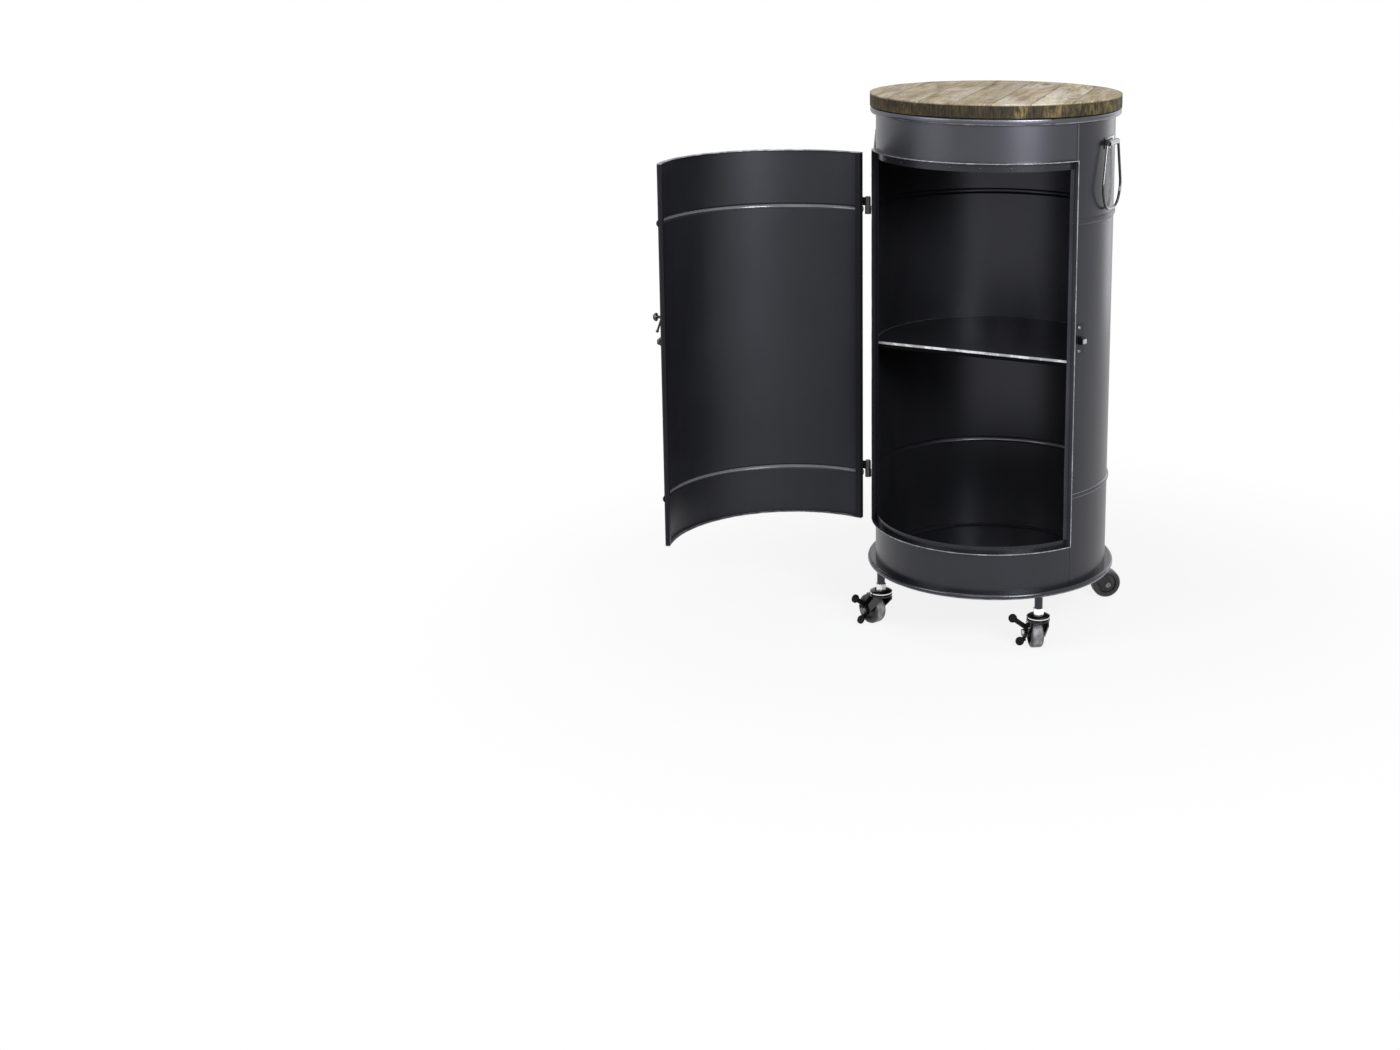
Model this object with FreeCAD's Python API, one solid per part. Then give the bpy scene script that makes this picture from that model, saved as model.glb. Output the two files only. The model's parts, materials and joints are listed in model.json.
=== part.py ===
import FreeCAD, Part
import math
import os

# Drum bar cabinet: a sheet-steel drum on four braked swivel casters, with a curved
# door, one shelf, a bail handle on each side and a lid of glued planks.
# Millimetres, +Z up. The origin is on the floor, on the drum's axis.
# The doorway faces -Y. Angles are degrees about +Z, counted from +X.

# ---------------------------------------------------------------- driving sizes
# drum
DRUM_R = 175.0            # outer radius of the drum's sheet
SHEET = 1.0               # drum, apron and door sheet
DRUM_H = 694.6
BEAD_UP = 141.2           # lower pressed bead above the drum's bottom
BEAD_DOWN = 151.4         # upper pressed bead below the drum's top
BEAD_HALF = 4.5
BEAD_RISE = 2.6
BEAD_GROW = 0.25          # a bead is wider outside by this share of the sheet

# rolled rims
RING_OUT = 12.0           # base ring beyond the drum's sheet
RING_H = 8.4
RING_ROLL = 3.9           # corner radius of the rolled base ring
RIM_OUT = 8.3             # top rim beyond the drum's sheet
RIM_H = 10.3
RIM_ROLL = 4.0

# heads
HEAD_T = 1.2
DISH_DROP = 3.0           # depth of the dished floor
DISH_RIM = 6.0            # width of the floor's raised rim

# lid
LID_OVER = 0.9            # lid beyond the top rim
LID_T = 19.8
LID_EDGE = 3.0            # rounding of the lid's edges
PLANKS = 7
PLANK_ANGLE = 71.0        # direction of the planks
SCREW_R = 2.0
SCREW_HEAD_R = 4.0
SCREW_FACE_R = 2.8
SCREW_HEAD_H = 2.0
SCREW_DEPTH = 13.0        # how far a lid screw reaches into the wood
SCREW_INSET = 57.0        # screws inward from the drum's sheet
SCREWS = 6

# doorway and its collar
DOOR_MID = -90.0          # the doorway's middle direction
OPENING_HALF = 61.5       # half of the doorway's angle
SILL_UP = 67.5            # middle of the sill's web above the drum's bottom
LINTEL_DOWN = 62.9        # middle of the lintel's web below the drum's top
COLLAR_T = 1.2
COLLAR_OUT = 7.0          # the collar's webs beyond the drum's sheet
LIP_IN = 1.8              # the door stop's face behind the drum's outside
SILL_LIP = 9.0            # door stop, turned up into the doorway
LINTEL_LIP = 12.0         # door stop, turned down
JAMB_LIP = 6.0            # door stop, turned in from the sides

# door
DOOR_IN = 1.0             # the door's face inside the collar's edge
DOOR_SIDE_GAP = 1.6
DOOR_LOW_GAP = 1.5
DOOR_TOP_GAP = 4.0
DOOR_FLANGE = 6.5         # depth of the door's edges
DOOR_HEM = 9.0            # return of the door's upright edges
DOOR_OPEN = 130.0         # how far the door stands open at rest

# hinges
PIN_R = 2.0
PIN_OUT = 5.0             # hinge pin beyond the collar's edge
PIN_BACK = 2.0            # pin centre beyond the doorway's edge, along the drum
KNUCKLE_R = 4.4
HINGE_H = 25.0
HINGE_UP = 76.6           # middle of the lower hinge above the door's lower edge
HINGE_DOWN = 79.0         # middle of the upper hinge below the door's upper edge
HINGE_GAP = 0.4           # between the two knuckles of a hinge
LEAF_T = 1.2
LEAF_W = 16.0
PIN_HEAD_R = 3.4
PIN_HEAD_H = 1.2
RUN_CLEAR = 0.05          # radial clearance of every turning fit
SEAT_CLEAR = 0.02         # radial clearance of every fixed shank

# shelf
SHELF_UP = 342.7          # top of the shelf above the drum's bottom
SHELF_SETBACK = 96.0      # shelf's front edge behind the drum's front
SHELF_FOLD = 9.0
SHELF_FLANGE = 8.0

# latch
LATCH_UP = 303.1          # the bolt above the door's lower edge
WIRE_R = 1.6              # bent wire of the bolt
BOLT_LIFT = 1.2           # bolt's wire above the door's face, at its tangent point
BOLT_TANGENT = 4.0        # tangent point, inward from the door's free edge
BOLT_TRAVEL = 16.0
BOLT_RISE = 36.0          # corner of the bolt's finger above the bolt
BOLT_FOLD = 9.5           # how far out the finger's end hangs
BOLT_DROP = 28.0          # how far the finger comes down again
BOLT_BEND = 3.2
FOLD_BEND = 1.8           # bend of the wire at the finger's top
BALL_R = 2.4
GUIDE_W = 4.0
GUIDE_NEAR = 4.5          # middles of the guides, inward from the free edge
GUIDE_FAR = 15.0
GUIDE_HALF = 5.6
STRAP_T = 1.0
STRAP_CLEAR = 0.4
BOLT_SPARE = 2.5          # bolt's finger short of the inner guide when shot
KNOB_UP = 34.0            # knob above the bolt
KNOB_AT = 12.5            # knob inward from the free edge
KNOB_R = 6.25
KNOB_NECK_R = 2.2
KNOB_FOOT_R = 3.8
KNOB_FOOT_T = 1.2
KNOB_STAND = 6.4
KNOB_T = 6.6
KNOB_UNDER_R = 4.9        # underside of the knob's head
KNOB_WIDE_UP = 2.3        # widest place above the underside
KNOB_SHOULDER_R = 5.25
KNOB_SHOULDER_UP = 4.6
KNOB_BROW_R = 3.75
KNOB_BROW_UP = 6.1
KNOB_TOP_R = 1.9
KEEPER_W = 20.0
KEEPER_H = 44.0
KEEPER_AT = 3.0           # keeper's near edge beyond the doorway's edge
KEEPER_RISE = 1.0         # keeper's middle above the latch
STAPLE_W = 7.0
STAPLE_SIDE = 1.2
RIVET_R = 1.5
RIVET_HEAD_R = 3.0
RIVET_FACE_R = 1.8
RIVET_HEAD_H = 1.6
RIVET_INSET = 5.0

# bail handles
BAIL_R = 2.0
BAIL_OUT = 5.2            # middle of the bail's wire beyond the drum's sheet
BAIL_DOWN = 44.9          # bail's pivot below the drum's top
SLEEVE_R = 4.4
SLEEVE_HALF = 20.0
BAIL_TOP_HALF = 24.5
BAIL_WIDE_HALF = 41.0
BAIL_WIDE_DROP = 66.0
BAIL_FOOT_HALF = 26.0
BAIL_DROP = 95.0
BAIL_CORNER = 4.5
BAIL_ROUND = 30.0
BAIL_BUTT = 0.4           # half of the gap between the wire's two ends
STRAP_PLATE_H = 16.0

# casters
STEM_OUT = 2.9            # stems' middles beyond the drum's sheet
STEM_R = 6.0
STEM_H = 18.2
STUD_R = 4.0
STUD_UP = 15.0            # how far the stud reaches into its socket
STUD_HEAD_R = 6.0
NUT_AF = 14.0
NUT_H = 8.2
CAP_R = 16.8
CAP_TOP_R = 9.5
CAP_H = 5.3
CAP_SKIRT = 2.4           # upright edge of the cap
RACE_GAP = 0.4
RACE_R = 13.6
RACE_H = 2.4
FORK_T = 2.0
FORK_REACH = 17.0         # crown's edge on the trailing side
FORK_BACK = 9.2           # crown's edge on the leading side
TRAIL = 20.0
WHEEL_R = 22.5
WHEEL_CLEAR = 3.6         # wheel's top to the crown
WHEEL_W = 19.0
TYRE_T = 5.5
TYRE_ROUND = 4.4
HUB_W = 16.0
HUB_WEB = 8.0
HUB_RIM = 2.6
HUB_FLARE = 0.8
HUB_BOSS_R = 6.0
HUB_BOSS_W = 22.0
WHEEL_GAP = 1.2           # wheel's boss to fork leg
AXLE_R = 3.0
AXLE_HEAD_R = 4.6
AXLE_FACE_R = 4.0
AXLE_HEAD_H = 1.8
DIMPLE_R = 1.8
DIMPLE_H = 1.0
AXLE_NUT_AF = 9.0
AXLE_NUT_H = 3.4
LEG_END_R = 8.0
LEG_HEEL = 37.0           # where the leg's leading edge meets its round end, below level
LEVER_T = 2.0
LEVER_GAP = 0.4
LEVER_HUB_R = 7.0
LEVER_ARM_W = 9.0
LEVER_ARM = 11.5          # the arm's ends above and below the axle
WING_ROOT = 8.5           # where a wing leaves the arm, from the axle
WING_NECK = 7.0
WING_R = 6.4              # round end of a wing
WING_T = 2.6
WING_UP_L = 24.0
WING_UP_TILT = 36.5
WING_DOWN_L = 9.5
WING_DOWN_TILT = -30.0

# where each caster stands about the drum, and where its wheel trails
CASTERS = {
    "front_left": (-135.0, 156.0),
    "front_right": (-45.0, 122.0),
    "back_right": (45.0, 35.0),
    "back_left": (135.0, 250.0),
}

# ---------------------------------------------------------------- worked-out places
OPEN_A = DOOR_MID - OPENING_HALF                  # hinge side of the doorway
OPEN_B = DOOR_MID + OPENING_HALF                  # latch side of the doorway
RING_R = DRUM_R + RING_OUT
RIM_R = DRUM_R + RIM_OUT
LID_R = RIM_R + LID_OVER
SCREW_CIRCLE_R = DRUM_R - SCREW_INSET
COLLAR_R = DRUM_R + COLLAR_OUT
LIP_R = DRUM_R - LIP_IN
DOOR_R = COLLAR_R - DOOR_IN
PIN_CENTRE_R = COLLAR_R + PIN_OUT
SHELF_EDGE_Y = SHELF_SETBACK - DRUM_R
BAIL_X = DRUM_R + BAIL_OUT
STEM_CIRCLE_R = DRUM_R + STEM_OUT

# heights, from the wheels up
CROWN_BOTTOM_Z = 2 * WHEEL_R + WHEEL_CLEAR
CROWN_TOP_Z = CROWN_BOTTOM_Z + FORK_T
RACE_TOP_Z = CROWN_TOP_Z + RACE_H
CAP_BOTTOM_Z = RACE_TOP_Z + RACE_GAP
CAP_TOP_Z = CAP_BOTTOM_Z + CAP_H
STEM_BOTTOM_Z = CAP_TOP_Z + NUT_H
DRUM_BOTTOM_Z = STEM_BOTTOM_Z + STEM_H
DRUM_TOP_Z = DRUM_BOTTOM_Z + DRUM_H
RIM_BOTTOM_Z = DRUM_TOP_Z - RIM_H
BEAD_LEVELS = (DRUM_BOTTOM_Z + BEAD_UP, DRUM_TOP_Z - BEAD_DOWN)
SILL_Z = DRUM_BOTTOM_Z + SILL_UP
LINTEL_Z = DRUM_TOP_Z - LINTEL_DOWN
SHELF_Z = DRUM_BOTTOM_Z + SHELF_UP
BAIL_TOP_Z = DRUM_TOP_Z - BAIL_DOWN
DOOR_Z0 = SILL_Z + COLLAR_T / 2 + DOOR_LOW_GAP
DOOR_Z1 = LINTEL_Z - COLLAR_T / 2 - DOOR_TOP_GAP
HINGE_LEVELS = (DOOR_Z0 + HINGE_UP, DOOR_Z1 - HINGE_DOWN)
LATCH_Z = DOOR_Z0 + LATCH_UP
KNOB_Z = LATCH_Z + KNOB_UP
KEEPER_Z = LATCH_Z + KEEPER_RISE

FULL_TURN = 360.0
HALF_TURN = 180.0
ROUND_MID = 1 - math.sqrt(0.5)    # a quarter round's middle, from its corner
SAME_POINT = 1e-9                 # corners nearer than this are one


def arc_deg(length, radius):
    """Angle of an arc of the given length."""
    return math.degrees(length / radius)


WEB_DEG = arc_deg(COLLAR_T, COLLAR_R)
DOOR_A = OPEN_A + WEB_DEG + arc_deg(DOOR_SIDE_GAP, DOOR_R)
DOOR_B = OPEN_B - WEB_DEG - arc_deg(DOOR_SIDE_GAP, DOOR_R)
PIN_DEG = OPEN_A - arc_deg(PIN_BACK, PIN_CENTRE_R)
LEG_IN_Y = HUB_BOSS_W / 2 + WHEEL_GAP
LEG_OUT_Y = LEG_IN_Y + FORK_T
LEVER_IN_Y = LEG_OUT_Y + LEVER_GAP
LEVER_OUT_Y = LEVER_IN_Y + LEVER_T

X = FreeCAD.Vector(1, 0, 0)
Y = FreeCAD.Vector(0, 1, 0)
Z = FreeCAD.Vector(0, 0, 1)


# ---------------------------------------------------------------- shared helpers
def vec(x, y, z):
    return FreeCAD.Vector(x, y, z)


def polar(radius, degrees, z):
    a = math.radians(degrees)
    return vec(radius * math.cos(a), radius * math.sin(a), z)


def section(steps):
    """Face in the XZ plane. A step is a corner (x, z) or an arc's (mid, end) pair."""
    start = steps[0]
    here = vec(start[0], 0, start[1])
    edges = []
    for step in steps[1:] + [start]:
        if isinstance(step[0], tuple):
            middle = vec(step[0][0], 0, step[0][1])
            end = vec(step[1][0], 0, step[1][1])
            edges.append(Part.Arc(here, middle, end).toShape())
        else:
            end = vec(step[0], 0, step[1])
            if (end - here).Length < SAME_POINT:
                continue
            edges.append(Part.LineSegment(here, end).toShape())
        here = end
    return Part.Face(Part.Wire(edges))


def turned(steps, start=0.0, sweep=FULL_TURN):
    """The section revolved about Z, from the start angle on."""
    solid = section(steps).revolve(vec(0, 0, 0), Z, sweep)
    solid.rotate(vec(0, 0, 0), Z, start)
    return solid


def ring_part(r0, r1, z0, z1, start=0.0, sweep=FULL_TURN):
    """A plain ring or a stretch of one."""
    return turned([(r0, z0), (r1, z0), (r1, z1), (r0, z1)], start, sweep)


def beaded(r0, r1, z0, z1, start, sweep):
    """Curved sheet with its pressed beads, from the lower to the upper edge."""
    grow = (r1 - r0) * BEAD_GROW
    outer = []
    inner = []
    for z in BEAD_LEVELS:
        if z - BEAD_HALF - grow > z0 and z + BEAD_HALF + grow < z1:
            outer.append((r1, z - BEAD_HALF - grow))
            outer.append(((r1 + BEAD_RISE, z), (r1, z + BEAD_HALF + grow)))
            inner.insert(0, ((r0 + BEAD_RISE, z), (r0, z - BEAD_HALF)))
            inner.insert(0, (r0, z + BEAD_HALF))
    steps = [(r0, z0), (r1, z0)] + outer + [(r1, z1), (r0, z1)] + inner
    return turned(steps, start, sweep)


def tangent_frame(radius, degrees, z):
    """Local X runs along the drum toward the hinges, local Y outward, local Z up."""
    return FreeCAD.Placement(polar(radius, degrees, z), FreeCAD.Rotation(Z, degrees - 90))


def placed(shape, placement):
    out = shape.copy()
    out.transformShape(placement.toMatrix(), True)
    return out


def tube_on(points, radius, bends):
    """Round wire along straight runs that tangent arcs join."""
    edges = []
    here = points[0]
    for i in range(1, len(points) - 1):
        back = (points[i - 1] - points[i]).normalize()
        ahead = (points[i + 1] - points[i]).normalize()
        half = back.getAngle(ahead) / 2
        reach = bends[i - 1] / math.tan(half)
        a = points[i] + back * reach
        b = points[i] + ahead * reach
        inward = (back + ahead).normalize()
        middle = points[i] + inward * (bends[i - 1] / math.sin(half) - bends[i - 1])
        edges.append(Part.LineSegment(here, a).toShape())
        edges.append(Part.Arc(a, middle, b).toShape())
        here = b
    edges.append(Part.LineSegment(here, points[-1]).toShape())
    path = Part.Wire(edges)
    ring = Part.Circle(points[0], points[1] - points[0], radius).toShape()
    return path.makePipeShell([Part.Wire([ring])], True, False)


def hexagon(across, height, base, direction=Z):
    """Hexagonal prism on its base point, along the direction."""
    r = across / math.sqrt(3)
    corners = [vec(r * math.cos(math.radians(60 * k)), r * math.sin(math.radians(60 * k)), 0)
               for k in range(7)]
    prism = Part.Face(Part.makePolygon(corners)).extrude(vec(0, 0, height))
    prism.Placement = FreeCAD.Placement(base, FreeCAD.Rotation(Z, direction))
    return prism


def fused(shapes):
    out = shapes[0]
    for shape in shapes[1:]:
        out = out.fuse(shape)
    return out.removeSplitter()


def group(shapes):
    return Part.makeCompound(shapes)


def save(name, shape):
    shape.exportStep(os.path.join("parts", name + ".step"))


# ---------------------------------------------------------------- the drum's shell
def drum_wrapper():
    """Sheet that goes round the back, from one side of the doorway to the other."""
    sweep = FULL_TURN - 2 * OPENING_HALF
    sheet = beaded(DRUM_R - SHEET, DRUM_R, DRUM_BOTTOM_Z, DRUM_TOP_Z, OPEN_B, sweep)
    return sheet.cut(group(keeper_shanks(RIVET_R + SEAT_CLEAR)))


def upper_apron():
    return ring_part(DRUM_R - SHEET, DRUM_R, LINTEL_Z + COLLAR_T / 2, DRUM_TOP_Z,
                     OPEN_A, 2 * OPENING_HALF)


def lower_apron():
    return ring_part(DRUM_R - SHEET, DRUM_R, DRUM_BOTTOM_Z, SILL_Z - COLLAR_T / 2,
                     OPEN_A, 2 * OPENING_HALF)


def rolled(radius, bottom, height, roll):
    """Rolled rim on the drum's outside: round outer edge, small roll on the inside."""
    k = roll * ROUND_MID
    top = bottom + height
    return turned([
        (DRUM_R, bottom), (radius - roll, bottom),
        ((radius - k, bottom + k), (radius, bottom + roll)),
        (radius, top - roll),
        ((radius - k, top - k), (radius - roll, top)),
        (DRUM_R, top),
    ])


def floor_plate():
    """Dished floor, welded in at the drum's lower edge."""
    r = DRUM_R - SHEET
    top = DRUM_BOTTOM_Z + HEAD_T
    flat_r = r - DISH_RIM - DISH_DROP
    return turned([
        (0, DRUM_BOTTOM_Z - DISH_DROP), (flat_r, DRUM_BOTTOM_Z - DISH_DROP),
        (r - DISH_RIM, DRUM_BOTTOM_Z), (r, DRUM_BOTTOM_Z), (r, top),
        (r - DISH_RIM, top), (flat_r, top - DISH_DROP), (0, top - DISH_DROP),
    ])


def top_plate():
    plate = ring_part(0, DRUM_R - SHEET, DRUM_TOP_Z - HEAD_T, DRUM_TOP_Z)
    bores = [Part.makeCylinder(SCREW_R + SEAT_CLEAR, 3 * HEAD_T, p - Z * 2 * HEAD_T, Z)
             for p in screw_points()]
    return plate.cut(group(bores))


# ---------------------------------------------------------------- lid
def screw_points():
    """Six points on a circle, half a step off the planks' joints."""
    step = FULL_TURN / SCREWS
    return [polar(SCREW_CIRCLE_R, PLANK_ANGLE + step * (k + 0.5), DRUM_TOP_Z)
            for k in range(SCREWS)]


def lid_planks():
    """Round lid, cut into planks that meet edge to edge."""
    z0 = DRUM_TOP_Z
    z1 = z0 + LID_T
    k = LID_EDGE * ROUND_MID
    disc = turned([
        (0, z0), (LID_R - LID_EDGE, z0),
        ((LID_R - k, z0 + k), (LID_R, z0 + LID_EDGE)),
        (LID_R, z1 - LID_EDGE),
        ((LID_R - k, z1 - k), (LID_R - LID_EDGE, z1)),
        (0, z1),
    ])
    bores = [Part.makeCylinder(SCREW_R + SEAT_CLEAR, SCREW_DEPTH + SEAT_CLEAR, p, Z)
             for p in screw_points()]
    disc = disc.cut(group(bores))
    width = 2 * LID_R / PLANKS
    planks = []
    for i in range(PLANKS):
        strip = Part.makeBox(4 * LID_R, width, 2 * LID_T,
                             vec(-2 * LID_R, -LID_R + i * width, z0 - LID_T / 2))
        strip.rotate(vec(0, 0, 0), Z, PLANK_ANGLE)
        planks.append(disc.common(strip).Solids[0])
    return group(planks)


def lid_screws():
    screws = []
    for p in screw_points():
        under = p - Z * HEAD_T
        shank = Part.makeCylinder(SCREW_R, SCREW_DEPTH + HEAD_T, under, Z)
        head = Part.makeCone(SCREW_FACE_R, SCREW_HEAD_R, SCREW_HEAD_H,
                             under - Z * SCREW_HEAD_H, Z)
        screws.append(fused([head, shank]))
    return group(screws)


# ---------------------------------------------------------------- collar of the doorway
def frame_sill():
    web = ring_part(LIP_R, COLLAR_R, SILL_Z - COLLAR_T / 2, SILL_Z + COLLAR_T / 2,
                    OPEN_A, 2 * OPENING_HALF)
    lip = ring_part(LIP_R - COLLAR_T, LIP_R, SILL_Z - COLLAR_T / 2,
                    SILL_Z + COLLAR_T / 2 + SILL_LIP, OPEN_A, 2 * OPENING_HALF)
    return fused([web, lip])


def frame_lintel():
    web = ring_part(LIP_R, COLLAR_R, LINTEL_Z - COLLAR_T / 2, LINTEL_Z + COLLAR_T / 2,
                    OPEN_A, 2 * OPENING_HALF)
    lip = ring_part(LIP_R - COLLAR_T, LIP_R, LINTEL_Z - COLLAR_T / 2 - LINTEL_LIP,
                    LINTEL_Z + COLLAR_T / 2, OPEN_A, 2 * OPENING_HALF)
    return fused([web, lip])


def frame_jamb(edge, inward):
    """Upright of the collar. Inward is +1 or -1, the way from its edge into the doorway."""
    z0 = SILL_Z + COLLAR_T / 2
    z1 = LINTEL_Z - COLLAR_T / 2
    lip_z0 = z0 + SILL_LIP
    lip_z1 = z1 - LINTEL_LIP
    lip_deg = WEB_DEG + arc_deg(JAMB_LIP, LIP_R)
    web_start = edge if inward > 0 else edge - WEB_DEG
    lip_start = edge if inward > 0 else edge - lip_deg
    web = ring_part(LIP_R - COLLAR_T, COLLAR_R, lip_z0, lip_z1, web_start, WEB_DEG)
    low = ring_part(LIP_R, COLLAR_R, z0, lip_z0, web_start, WEB_DEG)
    high = ring_part(LIP_R, COLLAR_R, lip_z1, z1, web_start, WEB_DEG)
    lip = ring_part(LIP_R - COLLAR_T, LIP_R, lip_z0, lip_z1, lip_start, lip_deg)
    return fused([web, low, high, lip])


# ---------------------------------------------------------------- shelf
def shelf():
    """Half-moon plate: straight folded front edge, flange round the back."""
    r = DRUM_R - SHEET
    z0 = SHELF_Z - SHEET
    disc = ring_part(0, r, z0, SHELF_Z)
    skirt = ring_part(r - SHEET, r, SHELF_Z - SHELF_FLANGE, SHELF_Z)
    behind = Part.makeBox(4 * r, 4 * r, 4 * SHELF_FOLD,
                          vec(-2 * r, SHELF_EDGE_Y, SHELF_Z - 2 * SHELF_FOLD))
    moon = disc.fuse(skirt).common(behind)
    half = math.sqrt(r * r - SHELF_EDGE_Y * SHELF_EDGE_Y)
    fold = Part.makeBox(2 * half, SHEET, SHELF_FOLD,
                        vec(-half, SHELF_EDGE_Y, SHELF_Z - SHELF_FOLD))
    hem = Part.makeBox(2 * half, 2 * SHEET, SHEET,
                       vec(-half, SHELF_EDGE_Y, SHELF_Z - SHELF_FOLD))
    bound = ring_part(0, r, SHELF_Z - SHELF_FOLD, SHELF_Z)
    return fused([moon, fold.common(bound), hem.common(bound)])


# ---------------------------------------------------------------- door
def close_to_open(shape):
    """Turn a shape from the shut door's place to the open door's place."""
    out = shape.copy()
    out.rotate(polar(PIN_CENTRE_R, PIN_DEG, 0), Z, -DOOR_OPEN)
    return out


def door_panel():
    """Pressed door: beaded skin, edges turned in, box hems on the upright edges."""
    sweep = DOOR_B - DOOR_A
    skin_in = DOOR_R - SHEET
    edge_in = DOOR_R - DOOR_FLANGE
    skin = beaded(skin_in, DOOR_R, DOOR_Z0, DOOR_Z1, DOOR_A, sweep)
    side = arc_deg(SHEET, DOOR_R)
    hem = arc_deg(DOOR_HEM, edge_in)
    pieces = [
        skin,
        ring_part(edge_in, skin_in, DOOR_Z0, DOOR_Z0 + SHEET, DOOR_A, sweep),
        ring_part(edge_in, skin_in, DOOR_Z1 - SHEET, DOOR_Z1, DOOR_A, sweep),
        ring_part(edge_in, skin_in, DOOR_Z0, DOOR_Z1, DOOR_A, side),
        ring_part(edge_in, skin_in, DOOR_Z0, DOOR_Z1, DOOR_B - side, side),
        ring_part(edge_in, edge_in + SHEET, DOOR_Z0, DOOR_Z1, DOOR_A, hem),
        ring_part(edge_in, edge_in + SHEET, DOOR_Z0, DOOR_Z1, DOOR_B - hem, hem),
    ]
    return close_to_open(fused(pieces))


# ---------------------------------------------------------------- hinges
def hinge_leaf_body(mid):
    """Lower knuckle with its leaf on the outside of the collar's jamb."""
    z0 = mid - HINGE_H / 2
    z1 = mid - HINGE_GAP / 2
    centre = polar(PIN_CENTRE_R, PIN_DEG, z0)
    knuckle = Part.makeCylinder(KNUCKLE_R, z1 - z0, centre, Z)
    leaf_deg = arc_deg(LEAF_T, COLLAR_R)
    leaf = ring_part(DRUM_R + BEAD_RISE, PIN_CENTRE_R - PIN_R, z0, z1,
                     OPEN_A - leaf_deg, leaf_deg)
    bore = Part.makeCylinder(PIN_R + SEAT_CLEAR, z1 - z0, centre, Z)
    return fused([knuckle, leaf]).cut(bore)


def hinge_leaf_door(mid):
    """Upper knuckle with the leaf that lies on the door's face."""
    z0 = mid + HINGE_GAP / 2
    z1 = mid + HINGE_H / 2
    centre = polar(PIN_CENTRE_R, PIN_DEG, z0)
    knuckle = Part.makeCylinder(KNUCKLE_R, z1 - z0, centre, Z)
    strap_in = PIN_CENTRE_R - KNUCKLE_R
    overlap = arc_deg(2 * LEAF_T, DOOR_R)
    strap = ring_part(strap_in, strap_in + LEAF_T, z0, z1, PIN_DEG,
                      DOOR_A - PIN_DEG + 2 * overlap)
    plate_start = DOOR_A + overlap / 2
    step = ring_part(DOOR_R, strap_in + LEAF_T, z0, z1, plate_start,
                     DOOR_A + 2 * overlap - plate_start)
    plate = ring_part(DOOR_R, DOOR_R + LEAF_T, z0, z1, plate_start,
                      arc_deg(LEAF_W, DOOR_R))
    bore = Part.makeCylinder(PIN_R + RUN_CLEAR, z1 - z0, centre, Z)
    return close_to_open(fused([knuckle, strap, step, plate]).cut(bore))


def hinge_pins():
    pins = []
    for mid in HINGE_LEVELS:
        foot = polar(PIN_CENTRE_R, PIN_DEG, mid - HINGE_H / 2)
        shank = Part.makeCylinder(PIN_R, HINGE_H + RUN_CLEAR, foot, Z)
        head = Part.makeCylinder(PIN_HEAD_R, PIN_HEAD_H,
                                 foot + Z * (HINGE_H + RUN_CLEAR), Z)
        pins.append(fused([shank, head]))
    return group(pins)


# ---------------------------------------------------------------- latch
def latch_frame():
    """Frame at the bolt's tangent point on the shut door."""
    return tangent_frame(DOOR_R, DOOR_B - arc_deg(BOLT_TANGENT, DOOR_R), LATCH_Z)


def strap(x_mid, width, half, lift, side):
    """Bridge over the bolt: a tapered strap with a straight way through along X."""
    top = lift + WIRE_R + STRAP_CLEAR
    slot = WIRE_R + STRAP_CLEAR
    foot = -2 * DOOR_FLANGE
    outer = Part.makePolygon([
        vec(0, foot, -half), vec(0, 0, -half), vec(0, top + STRAP_T, -slot - side),
        vec(0, top + STRAP_T, slot + side), vec(0, 0, half), vec(0, foot, half),
        vec(0, foot, -half),
    ])
    solid = Part.Face(outer).extrude(vec(width, 0, 0))
    hole = Part.makeBox(3 * width, top - lift + WIRE_R + STRAP_CLEAR, 2 * slot,
                        vec(-width, lift - WIRE_R - STRAP_CLEAR, -slot))
    solid = solid.cut(hole)
    solid.translate(vec(x_mid - width / 2, 0, 0))
    return solid


def bolt_guides():
    """Two bridges on one curved plate that lies on the door's face."""
    plate_deg = arc_deg(GUIDE_FAR - GUIDE_NEAR + 2 * GUIDE_W, DOOR_R)
    plate_end = DOOR_B - arc_deg(GUIDE_NEAR - GUIDE_W, DOOR_R)
    plate = ring_part(DOOR_R, DOOR_R + SHEET / 2, LATCH_Z - GUIDE_HALF, LATCH_Z + GUIDE_HALF,
                      plate_end - plate_deg, plate_deg)
    bridges = [placed(strap(at - BOLT_TANGENT, GUIDE_W, GUIDE_HALF, BOLT_LIFT + WIRE_R,
                            STAPLE_SIDE), latch_frame()) for at in (GUIDE_NEAR, GUIDE_FAR)]
    door_body = ring_part(0, DOOR_R, LATCH_Z - KEEPER_H, LATCH_Z + KEEPER_H)
    bridges = [bridge.cut(door_body) for bridge in bridges]
    return close_to_open(fused([plate] + bridges))


def bolt_rod():
    """One bent wire: the bolt, its upright finger, folded over, and the ball on its end."""
    lift = BOLT_LIFT + WIRE_R
    guide_end = GUIDE_FAR + GUIDE_W / 2 - BOLT_TANGENT
    inner = guide_end + BOLT_TRAVEL + WIRE_R + BOLT_SPARE
    end = vec(inner, lift + BOLT_FOLD, BOLT_RISE - BOLT_DROP)
    path = [vec(-BOLT_TANGENT, lift, 0), vec(inner, lift, 0), vec(inner, lift, BOLT_RISE), end]
    wire = tube_on(path, WIRE_R, [BOLT_BEND, FOLD_BEND])
    ball = Part.makeSphere(BALL_R, end)
    return close_to_open(placed(fused([wire, ball]), latch_frame()))


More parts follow.
